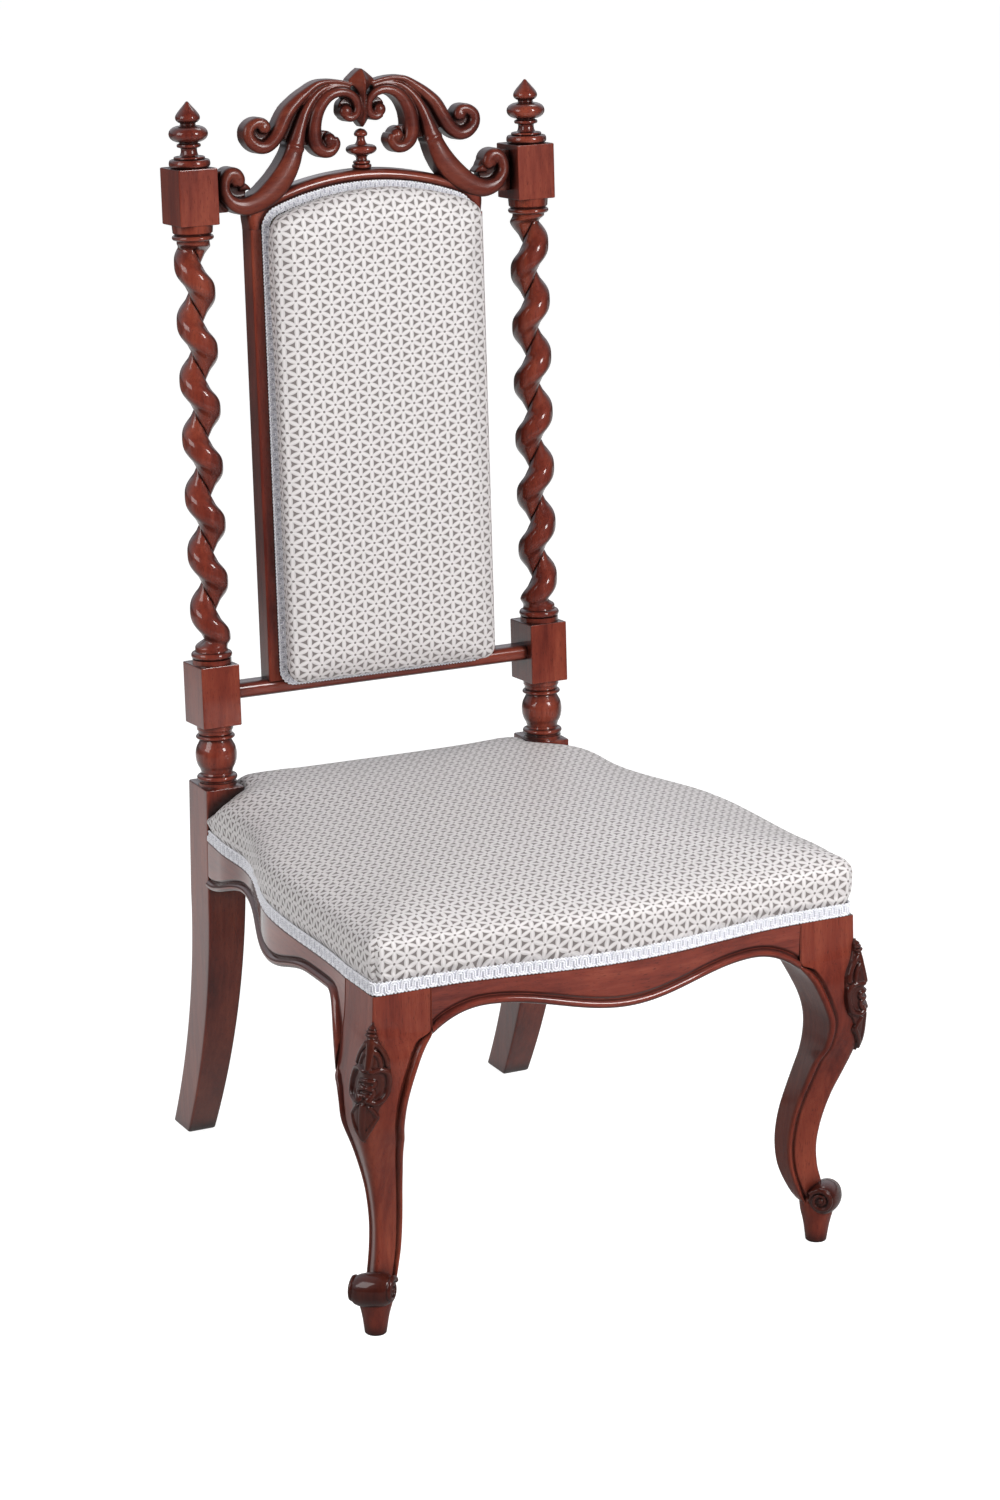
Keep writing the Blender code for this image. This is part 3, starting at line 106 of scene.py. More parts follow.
HALF_SPAN = POST_X - POST_BLOCK / 2
POST_FRONT = POST_Y - POST_BLOCK / 2
POST_OUTER = POST_X + POST_BLOCK / 2
MID_BLOCK_LOW = VASE_HEIGHT
MID_BLOCK_TOP = MID_BLOCK_LOW + MID_BLOCK_HEIGHT
TWIST_LOW = MID_BLOCK_TOP + LOWER_COLLAR_HEIGHT
TWIST_TOP = TWIST_LOW + TWIST_LENGTH
TOP_BLOCK_LOW = TWIST_TOP + UPPER_COLLAR_HEIGHT
TOP_BLOCK_TOP = TOP_BLOCK_LOW + TOP_BLOCK_HEIGHT
ARCH_TOP = TOP_BLOCK_LOW + PANEL_ARCH_RISE
LOWER_RAIL_LOW = MID_BLOCK_LOW + LOWER_RAIL_RISE
LOWER_RAIL_TOP = LOWER_RAIL_LOW + LOWER_RAIL_HEIGHT
LEG_INNER_X = SEAT_CORNER_X - LEG_BLOCK
LEG_BACK_Y = SEAT_FRONT_Y + LEG_BLOCK
REAR_RAIL_BACK = POST_Y + RAIL_THICKNESS / 2
SIDES = {"left": -1, "right": 1}

# The CAD frame is the chair's own frame moved along Y, and the back leans about the top of the low blocks
SHIFT_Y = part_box("front_rail")[0].y - (SEAT_FRONT_Y - FRONT_BOW)
LEAN_COS = math.cos(BACK_LEAN)
LEAN_SIN = math.sin(BACK_LEAN)


def placed(points):
    """Points of the chair's own frame, in the CAD frame."""
    return np.asarray(points, float) + (0.0, SHIFT_Y, 0.0)


def on_back(points):
    """Points given as x, distance forward of the post axis and height along the post, in the CAD frame."""
    points = np.asarray(points, float)
    x, forward, along = points[..., 0], points[..., 1], points[..., 2]
    y = -forward * LEAN_COS + along * LEAN_SIN + POST_Y
    z = forward * LEAN_SIN + along * LEAN_COS + LOW_BLOCK_TOP
    return placed(np.stack([x, y, z], -1))


# Curves

def eased(share):
    share = np.clip(share, 0.0, 1.0)
    return (1 - np.cos(np.pi * share)) / 2


def through(knots, share):
    """Value at a share of the way along, easing between given knots."""
    places = np.array([knot[0] for knot in knots])
    values = np.array([knot[1] for knot in knots])
    share = np.asarray(share, float)
    i = np.clip(np.searchsorted(places, share) - 1, 0, len(places) - 2)
    t = (share - places[i]) / (places[i + 1] - places[i])
    return values[i] + (values[i + 1] - values[i]) * eased(t)


def spline(points, steps):
    """Points on a smooth curve through the given ones."""
    points = np.asarray(points, float)
    padded = np.vstack([2 * points[0] - points[1], points, 2 * points[-1] - points[-2]])
    t = (np.arange(steps) / steps)[:, None]
    curve = []
    for before, start, end, after in zip(padded, padded[1:], padded[2:], padded[3:]):
        curve.append(
            0.5 * (2 * start + (end - before) * t + (2 * before - 5 * start + 4 * end - after) * t ** 2
                   + (3 * start - before - 3 * end + after) * t ** 3)
        )
    return np.vstack([*curve, points[-1:]])


def directions(angles):
    """Unit vectors at the given angles."""
    return np.stack([np.cos(angles), np.sin(angles)], -1)


def full_turn(count):
    """Angles evenly round a circle."""
    return 2 * np.pi * np.arange(count) / count


def unit(vectors):
    return vectors / np.linalg.norm(vectors, axis=-1, keepdims=True)


def at_height(flat, height):
    """Flat points with a third coordinate added."""
    return np.column_stack([flat, np.broadcast_to(height, len(flat))])


def path_lengths(points):
    """Distance of each point of a row from the first, along the row."""
    return np.concatenate([[0.0], np.cumsum(np.linalg.norm(np.diff(points, axis=0), axis=1))])


def interpolated(at, places, rows):
    """Rows between those that stand at the given places."""
    return np.stack([np.interp(at, places, rows[:, i]) for i in range(rows.shape[1])], -1)


def resampled(points, spacing, closed=False):
    """Points at an even spacing along a row of points."""
    points = np.asarray(points, float)
    if closed:
        points = np.vstack([points, points[:1]])
    along = path_lengths(points)
    count = max(2, round(along[-1] / spacing))
    return interpolated(np.linspace(0.0, along[-1], count, endpoint=not closed), along, points)


def even_ring(ring, count):
    """Closed ring with a given number of evenly spaced points."""
    closed = np.vstack([ring, ring[:1]])
    along = path_lengths(closed)
    return interpolated(np.linspace(0.0, along[-1], count, endpoint=False), along, closed)


def outline_normals(points, closed):
    """Unit normals to the left of a flat row of points."""
    run = np.roll(points, -1, 0) - np.roll(points, 1, 0) if closed else np.gradient(points, axis=0)
    return unit(np.stack([-run[:, 1], run[:, 0]], -1))


# Meshes

class Shell:
    """Points and faces of one piece, gathered from several skins."""

    def __init__(self):
        self.points = []
        self.faces = []

    def skin(self, rings, closed=True):
        """Skin rows of equal length; a closed skin goes round each row and has a cap at each end."""
        rings = np.asarray(rings, float)
        rows, count = rings.shape[:2]
        start = len(self.points)
        last = start + (rows - 1) * count
        self.points.extend(rings.reshape(-1, 3).tolist())
        for low in range(start, last, count):
            high = low + count
            for i in range(count if closed else count - 1):
                j = (i + 1) % count
                self.faces.append((low + i, low + j, high + j, high + i))
        if closed:
            self.faces.append(tuple(range(start + count - 1, start - 1, -1)))
            self.faces.append(tuple(range(last, last + count)))

    def tube(self, path, normals, radius, sides=8):
        """Round cord along a path that lies on a surface with the given normals."""
        run = unit(np.gradient(path, axis=0))
        side = unit(np.cross(run, normals))
        up = np.cross(side, run)
        radius = np.broadcast_to(radius, len(path))[:, None]
        rings = [path + radius * (math.cos(a) * up + math.sin(a) * side) for a in full_turn(sides)]
        self.skin(np.stack(rings, 1))

    def ball(self, centre, radii, axes, rows=14, sides=24):
        """Closed ball with three radii along the given axes."""
        turn = directions(full_turn(sides))
        rings = []
        for share in np.arange(rows + 1) / rows:
            tilt = math.pi * (0.02 + 0.96 * share)
            local = at_height(math.sin(tilt) * turn, -math.cos(tilt)) * radii
            rings.append(centre + local @ axes)
        self.skin(rings)

    def build(self, name, sharp=32.0, flatten=True):
        """Make the piece, with smooth shading except at its sharp edges."""
        mesh = bpy.data.meshes.new(name)
        mesh.from_pydata(self.points, [], self.faces)
        bm = bmesh.new()
        bm.from_mesh(mesh)
        bmesh.ops.recalc_face_normals(bm, faces=bm.faces)
        bm.to_mesh(mesh)
        bm.free()
        mesh.shade_smooth()
        mesh.set_sharp_from_angle(angle=math.radians(sharp))
        piece = bpy.data.objects.new(name, mesh)
        bpy.context.scene.collection.objects.link(piece)
        if flatten:
            piece.modifiers.new("weighted", "WEIGHTED_NORMAL").keep_sharp = True
        return piece


def skinned(rings):
    """Shell of one closed skin."""
    shell = Shell()
    shell.skin(rings)
    return shell


def dress(piece, material, slot, *nodes):
    """Give a piece its material and its body, and hide the CAD parts that it stands for; the slot is not
    used.
    """
    piece.data.materials.clear()
    piece.data.materials.append(material)
    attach(piece, "root")
    if nodes:
        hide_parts(*nodes)


def applied(piece):
    """Replace a piece's mesh by what its modifiers make of it."""
    graph = bpy.context.evaluated_depsgraph_get()
    mesh = bpy.data.meshes.new_from_object(piece.evaluated_get(graph), depsgraph=graph)
    piece.modifiers.clear()
    old = piece.data
    piece.data = mesh
    bpy.data.meshes.remove(old)


def remeshed(piece, voxel, rounds):
    """Join a piece's skins into one even skin and soften it."""
    remesh = piece.modifiers.new("joined", "REMESH")
    remesh.mode = "VOXEL"
    remesh.voxel_size = voxel
    smooth = piece.modifiers.new("softened", "SMOOTH")
    smooth.factor = 0.5
    smooth.iterations = rounds
    applied(piece)


def bevelled(piece, width, segments):
    bevel = piece.modifiers.new("eased", "BEVEL")
    bevel.width = width
    bevel.segments = segments


def gathered(items, name, width, kind=float):
    """A row of values from each item of a mesh."""
    values = np.empty(len(items) * width, kind)
    items.foreach_get(name, values)
    return values.reshape(-1, width)


def positions(mesh):
    return gathered(mesh.vertices, "co", 3)


def set_positions(mesh, points):
    mesh.vertices.foreach_set("co", np.asarray(points, float).ravel())
    mesh.update()


# Materials

# Sockets of a colour mix
MIX_FACTOR, MIX_FIRST, MIX_SECOND, MIX_RESULT = 0, 6, 7, 2

# Mahogany: shades along the figure, then those of pores, of the painted shade in recesses and of the painted
# shade on turned-away edges
FIGURE_STOPS = (
    (0.34, (0.086, 0.0115, 0.0075)), (0.50, (0.168, 0.0270, 0.0148)), (0.68, (0.256, 0.0535, 0.0280)),
)
PORE_SHADE = (0.030, 0.0065, 0.005, 1.0)
RECESS_PAINTED_SHADE = (0.012, 0.0045, 0.004, 1.0)
RECESS_REACH = 0.018
EDGE_PAINTED_SHADE = (0.026, 0.008, 0.007, 1.0)

# Cover cloth: size of one cell, name of its map, and the shades of its ground, bars, threads and figures
CELL_ACROSS = 0.0125
CELL_ALONG = 0.0126
WEAVE = "weave"
GROUND_SHADES = ((0.572, 0.538, 0.537, 1.0), (0.620, 0.584, 0.582, 1.0))
BAR_SHADE = (0.670, 0.638, 0.637, 1.0)
THREAD_SHADE = (0.56, 0.53, 0.53, 1.0)
FIGURE_SHADES = ((0.180, 0.158, 0.152, 1.0), (0.245, 0.220, 0.213, 1.0))


def new_material(name):
    material = bpy.data.materials.new(name)
    material.use_nodes = True
    return material, material.node_tree, material.node_tree.nodes["Principled BSDF"]


def feed(tree, made, inputs):
    """Set a node's inputs; each is a value or another node's output."""
    for key, value in inputs.items():
        if isinstance(value, bpy.types.NodeSocket):
            tree.links.new(value, made.inputs[key])
        else:
            made.inputs[key].default_value = value


def node(tree, kind, inputs=None, **settings):
    """Add a node with its settings and inputs."""
    made = tree.nodes.new(kind)
    for key, value in settings.items():
        setattr(made, key, value)
    feed(tree, made, inputs or {})
    return made


def calc(tree, operation, *values):
    return node(tree, "ShaderNodeMath", dict(enumerate(values)), operation=operation).outputs[0]


def ranged(tree, value, low, high, to_low=0.0, to_high=1.0):
    inputs = {"Value": value, "From Min": low, "From Max": high, "To Min": to_low, "To Max": to_high}
    return node(tree, "ShaderNodeMapRange", inputs, interpolation_type="SMOOTHSTEP").outputs["Result"]


def mixed(tree, factor, first, second):
    inputs = {MIX_FACTOR: factor, MIX_FIRST: first, MIX_SECOND: second}
    return node(tree, "ShaderNodeMix", inputs, data_type="RGBA").outputs[MIX_RESULT]


def ramp(tree, value, stops):
    made = node(tree, "ShaderNodeValToRGB", {"Fac": value})
    elements = made.color_ramp.elements
    while len(elements) < len(stops):
        elements.new(0.5)
    for element, (place, colour) in zip(elements, stops):
        element.position = place
        element.color = (*colour, 1.0)
    return made.outputs["Color"]


def object_coords(tree):
    return node(tree, "ShaderNodeTexCoord").outputs["Object"]


def split(tree, vector):
    return node(tree, "ShaderNodeSeparateXYZ", {"Vector": vector}).outputs


def noise(tree, coords, scale, detail=2.0, roughness=0.5, distortion=0.0):
    mapped = node(tree, "ShaderNodeMapping", {"Vector": coords, "Scale": scale}).outputs["Vector"]
    inputs = {"Vector": mapped, "Scale": 1.0, "Detail": detail, "Roughness": roughness,
              "Distortion": distortion}
    return node(tree, "ShaderNodeTexNoise", inputs).outputs["Fac"]


def wave(tree, coords, direction, scale, distortion, detail, detail_scale=1.0):
    inputs = {"Vector": coords, "Scale": scale, "Distortion": distortion, "Detail": detail,
              "Detail Scale": detail_scale}
    return node(tree, "ShaderNodeTexWave", inputs, bands_direction=direction).outputs["Fac"]


def bump(tree, height, distance, strength, normal=None):
    inputs = {"Height": height, "Distance": distance, "Strength": strength}
    if normal is not None:
        inputs["Normal"] = normal
    return node(tree, "ShaderNodeBump", inputs).outputs["Normal"]


def along_grain(axis, along, across):
    return tuple(along if i == axis else across for i in range(3))


def mahogany(name, axis, depth=1.0, polish=0.80, blur=0.08, edge=0.80):
    """French-polished mahogany with its grain along one axis, with painted shade in its recesses and on edges
    turned from the camera.
    """
    material, tree, shader = new_material(name)
    coords = object_coords(tree)
    figure = noise(tree, coords, along_grain(axis, 5.0, 26.0), 4.0, 0.55, 0.6)
    streak = noise(tree, coords, along_grain(axis, 16.0, 230.0), 3.0, 0.6, 0.2)
    pores = noise(tree, coords, along_grain(axis, 130.0, 1500.0), 1.0)
    tone = calc(tree, "ADD", calc(tree, "MULTIPLY", figure, 0.72), calc(tree, "MULTIPLY", streak, 0.28))
    colour = ramp(tree, tone, [(place, tuple(c * depth for c in shade)) for place, shade in FIGURE_STOPS])
    flecks = ranged(tree, pores, 0.60, 0.72)
    colour = mixed(tree, calc(tree, "MULTIPLY", flecks, 0.55), colour, PORE_SHADE)
    # Painted shade: recesses found by ambient occlusion are darkened towards the recess shade
    recess_occlusion = node(tree, "ShaderNodeAmbientOcclusion", {"Distance": RECESS_REACH}, samples=6)
    colour = mixed(tree, ranged(tree, recess_occlusion.outputs["AO"], 0.36, 0.97), RECESS_PAINTED_SHADE, colour)
    # Painted shade: faces turned away from the camera are darkened towards the edge shade, by up to the edge
    # strength, and less on flat square faces
    slant = node(tree, "ShaderNodeLayerWeight", {"Blend": 0.5}).outputs["Facing"]
    parts = split(tree, node(tree, "ShaderNodeNewGeometry").outputs["Normal"])
    square = calc(tree, "MAXIMUM", calc(tree, "ABSOLUTE", parts["X"]), calc(tree, "ABSOLUTE", parts["Y"]))
    rounded = ranged(tree, square, 0.970, 0.992, 1.0, 0.30)
    shade = calc(tree, "MULTIPLY", ranged(tree, slant, 0.10, 0.66, 0.0, edge), rounded)
    waves = noise(tree, coords, along_grain(axis, 22.0, 55.0))
    feed(tree, shader, {
        "Base Color": mixed(tree, shade, colour, EDGE_PAINTED_SHADE),
        "Normal": bump(tree, flecks, -0.00012, 0.6, bump(tree, waves, 0.0005, 0.35)),
        "Roughness": 0.42, "Specular IOR Level": 0.12,
        "Coat Weight": polish, "Coat IOR": 1.45, "Coat Roughness": blur,
    })
    return material


def cover_fabric():
    """Pale satin cloth with a woven lattice of small grey triangles and dots, laid out by its own map."""
    material, tree, shader = new_material("cover_fabric")
    mapped = node(tree, "ShaderNodeUVMap", uv_map=WEAVE).outputs["UV"]
    cell = split(tree, mapped)
    first = calc(tree, "FRACT", cell["X"])
    second = calc(tree, "FRACT", calc(tree, "SUBTRACT", cell["Y"], calc(tree, "MULTIPLY", cell["X"], 0.5)))
    total = calc(tree, "ADD", first, second)
    upper = calc(tree, "GREATER_THAN", total, 1.0)
    parts = []
    for value in (first, second):
        flipped = calc(tree, "SUBTRACT", 1.0, value)
        lower_part = calc(tree, "MULTIPLY", value, calc(tree, "SUBTRACT", 1.0, upper))
        parts.append(calc(tree, "ADD", lower_part, calc(tree, "MULTIPLY", flipped, upper)))
    parts.append(calc(tree, "ABSOLUTE", calc(tree, "SUBTRACT", total, 1.0)))
    smallest = calc(tree, "MINIMUM", calc(tree, "MINIMUM", parts[0], parts[1]), parts[2])
    largest = calc(tree, "MAXIMUM", calc(tree, "MAXIMUM", parts[0], parts[1]), parts[2])
    triangle = ranged(tree, calc(tree, "MULTIPLY_ADD", largest, 0.12, smallest), 0.226, 0.258)
    dot = ranged(tree, largest, 0.885, 0.912)
    bars = ranged(tree, smallest, 0.055, 0.085)
    grey = calc(tree, "MAXIMUM", triangle, dot)
    threads = wave(tree, mapped, "X", 5.2, 1.2, 1.0)
    weave = calc(tree, "MULTIPLY", threads, wave(tree, mapped, "Y", 7.0, 1.0, 1.0))
    cloud = noise(tree, object_coords(tree), (9.0, 9.0, 9.0), 3.0)
    pale = mixed(tree, bars, BAR_SHADE, mixed(tree, cloud, *GROUND_SHADES))
    pale = mixed(tree, calc(tree, "MULTIPLY", weave, 0.15), pale, THREAD_SHADE)
    relief = calc(tree, "SUBTRACT", calc(tree, "MULTIPLY", bars, -0.5), grey)
    feed(tree, shader, {
        "Base Color": mixed(tree, grey, pale, mixed(tree, weave, *FIGURE_SHADES)),
        "Normal": bump(tree, weave, 0.00012, 0.6, bump(tree, relief, 0.00035, 0.8)),
        "Roughness": 0.40, "Specular IOR Level": ranged(tree, grey, 0.0, 1.0, 0.95, 0.15),
        "Sheen Weight": 0.20, "Sheen Roughness": 0.45,
    })
    return material


def yarn(name, shade):
    """Twisted yarn, seen as fine slanting ribs."""
    material, tree, shader = new_material(name)
    coords = object_coords(tree)
    ribs = wave(tree, coords, "DIAGONAL", 330.0, 2.0, 2.0)
    fuzz = noise(tree, coords, (900.0, 900.0, 900.0))
    mottle = calc(tree, "MULTIPLY_ADD", fuzz, 0.5, calc(tree, "MULTIPLY", ribs, 0.5))
    low = tuple(c * 0.72 for c in shade)
    feed(tree, shader, {
        "Base Color": ramp(tree, mottle, ((0.2, low), (0.7, shade))),
        "Normal": bump(tree, mottle, 0.00015, 0.7),
        "Roughness": 0.75, "Specular IOR Level": 0.3, "Sheen Weight": 0.15,
    })
    return material


def plain_weave(name, shade, count, gap_shade):
    """Open plain weave with threads along X and Y."""
    material, tree, shader = new_material(name)
    coords = object_coords(tree)
    bands = [wave(tree, coords, direction, count, 1.5, 2.0, 1.5) for direction in ("X", "Y")]
    thread = calc(tree, "MAXIMUM", *bands)
    slubs = noise(tree, coords, (60.0, 60.0, 60.0), 3.0)
    shades = mixed(tree, slubs, (*(c * 0.7 for c in shade), 1.0), (*shade, 1.0))
    feed(tree, shader, {
        "Base Color": mixed(tree, ranged(tree, thread, 0.25, 0.6), (*gap_shade, 1.0), shades),
        "Normal": bump(tree, thread, 0.0004, 0.8),
        "Roughness": 0.9, "Specular IOR Level": 0.2,
    })
    return material


def bare_beech():
    material, tree, shader = new_material("beech")
    coords = object_coords(tree)
    grain = noise(tree, coords, (12.0, 90.0, 90.0), 4.0, 0.6, 0.4)
    flecks = ranged(tree, noise(tree, coords, (160.0, 900.0, 900.0), 1.0), 0.60, 0.70)
    colour = ramp(tree, grain, ((0.3, (0.33, 0.20, 0.10)), (0.7, (0.48, 0.32, 0.17))))
    feed(tree, shader, {
        "Base Color": mixed(tree, calc(tree, "MULTIPLY", flecks, 0.5), colour, (0.24, 0.13, 0.06, 1.0)),
        "Normal": bump(tree, grain, 0.0003, 0.5),
        "Roughness": 0.62,
    })
    return material


def plain_steel():
    material, tree, shader = new_material("steel")
    wear = noise(tree, object_coords(tree), (300.0, 300.0, 300.0), 3.0)
    feed(tree, shader, {
        "Base Color": ramp(tree, wear, ((0.3, (0.33, 0.32, 0.31)), (0.7, (0.50, 0.49, 0.47)))),
        "Roughness": ranged(tree, wear, 0.2, 0.8, 0.30, 0.50),
        "Metallic": 1.0,
    })
    return material


# Arguments after the name: grain axis, depth of colour, polish, blur of the polish, and strength of the
# painted shade on turned-away edges
WOOD_UPRIGHT = mahogany("mahogany_upright", 2)
WOOD_ACROSS = mahogany("mahogany_across", 0)
WOOD_DEPTH = mahogany("mahogany_depth", 1)
WOOD_CARVED = mahogany("mahogany_carved", 0, 0.66, 0.50, 0.20)
WOOD_LEG = mahogany("mahogany_leg", 2, 0.90, 0.40, 0.14, 0.25)
# Darker mahogany, for the knees and toes
WOOD_DARK = mahogany("mahogany_dark", 2, 0.30, 0.55, 0.06, 0.20)
FABRIC = cover_fabric()
BRAID = yarn("gimp_braid", (0.910, 0.910, 0.955))
BRAID_GROUND = yarn("gimp_ground", (0.580, 0.580, 0.650))
HESSIAN = plain_weave("hessian", (0.38, 0.27, 0.15), 95.0, (0.08, 0.055, 0.03))
WEBBING = plain_weave("webbing", (0.30, 0.22, 0.13), 60.0, (0.12, 0.085, 0.05))
BEECH = bare_beech()
STEEL = plain_steel()


# Back posts and turnings

QUADRANT = (0, 6, 12, 18, 24, 30, 36, 41.5, 43.2, 44.2, 45, 45.8, 46.8, 48.5, 54, 60, 66, 72, 78, 84)
RING_ANGLES = np.radians([90 * quarter + angle for quarter in range(4) for angle in QUADRANT])
EDGE_ROUND = 0.0011
LEAST_RADIUS = 0.0002


def round_ring(radius):
    return radius * directions(RING_ANGLES)


def square_ring(half_x, half_y, corner=EDGE_ROUND):
    """Square section with rounded corners, on the same angles as the round sections."""
    half = (half_x + half_y) / 2
    direction = directions(RING_ANGLES)
    flat = direction * (half / np.abs(direction).max(1))[:, None]
    centre = np.full(2, half - corner)
    reach = np.abs(direction) @ centre
    root = np.sqrt(np.maximum(reach ** 2 - centre @ centre + corner ** 2, 0.0))
    in_corner = np.abs(flat).min(1) > half - corner
    ring = np.where(in_corner[:, None], direction * (reach + root)[:, None], flat)
    return ring * (half_x / half, half_y / half)


def arc(start, end, bulge, steps=10):
    """Half-ellipse from one profile point to another, standing out by the bulge."""
    start, end = np.asarray(start, float), np.asarray(end, float)
    run = end - start
    out = np.array([-run[1], run[0]]) / np.linalg.norm(run)
    if out[1] < 0:
        out = -out
    turn = np.linspace(0, np.pi, steps + 1)[1:, None]
    return start + run * (1 - np.cos(turn)) / 2 + out * bulge * np.sin(turn)


def profile(start, *steps):
    """Turned profile of heights and radii: each step is a point, a bead, a cove or a smooth curve."""
    rows = [np.array(start, float)]
    for kind, *values in steps:
        if kind == "to":
            rows.append(np.array(values, float))
        elif kind == "bead":
            rows.extend(arc(rows[-1], values[:2], values[2]))
        elif kind == "cove":
            rows.extend(arc(rows[-1], values[:2], -values[2]))
        else:
            rows.extend(spline([rows[-1], *values], 6)[1:])
    return np.array(rows)


VASE = profile(
    (0.0, 0.0196), ("to", 0.0030, 0.0196), ("to", 0.0034, 0.0182), ("to", 0.0050, 0.0180),
    ("bead", 0.0106, 0.0182, 0.0026), ("to", 0.0112, 0.0168), ("to", 0.0128, 0.0160),
    ("curve", (0.0170, 0.0172), (0.0210, 0.0193), (0.0265, 0.0208), (0.0330, 0.0211), (0.0390, 0.0200),
     (0.0435, 0.0178), (0.0470, 0.0160)),
    ("to", 0.0485, 0.0158), ("bead", 0.0530, 0.0170, 0.0036), ("to", 0.0536, 0.0176),
    ("cove", 0.0580, 0.0186, 0.0006), ("to", VASE_HEIGHT, 0.0188),
)
LOWER_COLLAR = profile(
    (0.0, 0.0200), ("to", 0.0050, 0.0198), ("to", 0.0058, 0.0182), ("bead", 0.0126, 0.0180, 0.0028),
    ("to", 0.0132, 0.0170), ("to", 0.0150, NECK_RADIUS),
)
UPPER_COLLAR = profile(
    (0.0018, NECK_RADIUS), ("to", 0.0024, 0.0178), ("bead", 0.0078, 0.0180, 0.0030), ("to", 0.0084, 0.0182),
    ("to", 0.0100, 0.0200), ("to", UPPER_COLLAR_HEIGHT, 0.0206),
)
FINIAL = profile(
    (0.0003, 0.0188), ("to", 0.0012, 0.0194), ("bead", 0.0082, 0.0186, 0.0016), ("to", 0.0086, 0.0150),
    ("bead", 0.0112, 0.0138, 0.0012), ("to", 0.0116, 0.0104), ("cove", 0.0196, 0.0088, 0.0014),
    ("to", 0.0200, 0.0106), ("bead", 0.0238, 0.0106, 0.0014), ("to", 0.0242, 0.0094), ("to", 0.0252, 0.0094),
    ("bead", 0.0412, 0.0090, 0.0104), ("to", 0.0420, 0.0080), ("cove", 0.0446, 0.0096, 0.0010),
    ("curve", (0.0466, 0.0116), (0.0488, 0.0123), (0.0515, 0.0117), (0.0550, 0.0094), (0.0590, 0.0060),
     (0.0624, 0.0030), (0.0644, 0.0014), (0.0650, 0.0004)),
)
CREST_FINIAL = profile(
    (0.0003, 0.0085), ("bead", 0.0042, 0.0086, 0.0014), ("to", 0.0046, 0.0076),
    ("bead", 0.0078, 0.0072, 0.0014), ("to", 0.0082, 0.0058),
    ("curve", (0.0102, 0.0054), (0.0124, 0.0066), (0.0138, 0.0086)),
    ("bead", 0.0236, 0.0074, 0.0078), ("curve", (0.0256, 0.0054), (0.0286, 0.0042), (0.0318, 0.0040)),
    ("to", 0.0322, 0.0058), ("curve", (0.0332, 0.0066), (0.0348, 0.0068), (0.0368, 0.0060), (0.0388, 0.0040),
     (0.0400, 0.0004)),
)


def twist_ring(along):
    """Slice of the winding strand, with a tight valley, easing out of the round neck at both ends."""
    swell = float(eased(min(along, TWIST_LENGTH - along) / TWIST_RUN_IN))
    turn = TWIST_START - 2 * math.pi * TWIST_TURNS * along / TWIST_LENGTH
    local = RING_ANGLES - math.pi / 4
    depth = NECK_RADIUS + (STRAND_DEPTH_RADIUS - NECK_RADIUS) * swell
    width = NECK_RADIUS + (STRAND_WIDTH_RADIUS - NECK_RADIUS) * swell
    offset = STRAND_CENTRE_RADIUS * swell
    steep = (np.cos(local) / depth) ** 2 + (np.sin(local) / width) ** 2
    lean = np.cos(local) * offset / depth ** 2
    radius = (lean + np.sqrt(lean ** 2 - steep * ((offset / depth) ** 2 - 1))) / steep
    from_valley = np.abs(local % (2 * np.pi) - np.pi)
    full = VALLEY_FILL * np.exp(-((from_valley - VALLEY_FILL_PLACE) / VALLEY_FILL_SPREAD) ** 2)
    radius += swell * (full - VALLEY_CUT * np.exp(-from_valley / VALLEY_SPREAD))
    return radius[:, None] * directions(local + turn)


# How much further back the posts' square parts reach than they reach forward
POST_BACK = 0.006
# Share of that which is gone at the foot
POST_BACK_FADE = 0.8
LEG_CORNER_ROUND = 0.0022
# Chamfer under each rear foot: height, trim
FOOT_CHAMFER = ((0.0, 0.0026), (0.0007, 0.0010), (0.0022, 0.0))
SWEEP_LOW = 0.006
SWEEP_ROWS = 44
ROWS_PER_TURN = 44


def deepened(values, half, extra):
    """Distances from a post's middle with the rear half drawn out."""
    return np.where(values > 0, values * (half + extra) / half, values)


def top_edge(height):
    """Heights and trims over the rounded upper edge of a block."""
    return ((height - EDGE_ROUND, 0.0), (height - 0.3 * EDGE_ROUND, 0.3 * EDGE_ROUND), (height, EDGE_ROUND))


def block_rows(low, high):
    """Square block with eased edges, between two heights."""
    half, ease = POST_BLOCK / 2, EDGE_ROUND
    rows = []
    for height, trim in ((low, ease), (low + 0.3 * ease, 0.3 * ease), (low + ease, 0.0), *top_edge(high)):
        ring = square_ring(half - trim, half - trim)
        rows.append((height, np.column_stack([ring[:, 0], deepened(ring[:, 1], half, POST_BACK)])))
    return rows


def turned_rows(rows, foot):
    """Heights and round sections of a turned profile that starts at a height."""
    return [(foot + height, round_ring(radius)) for height, radius in rows]


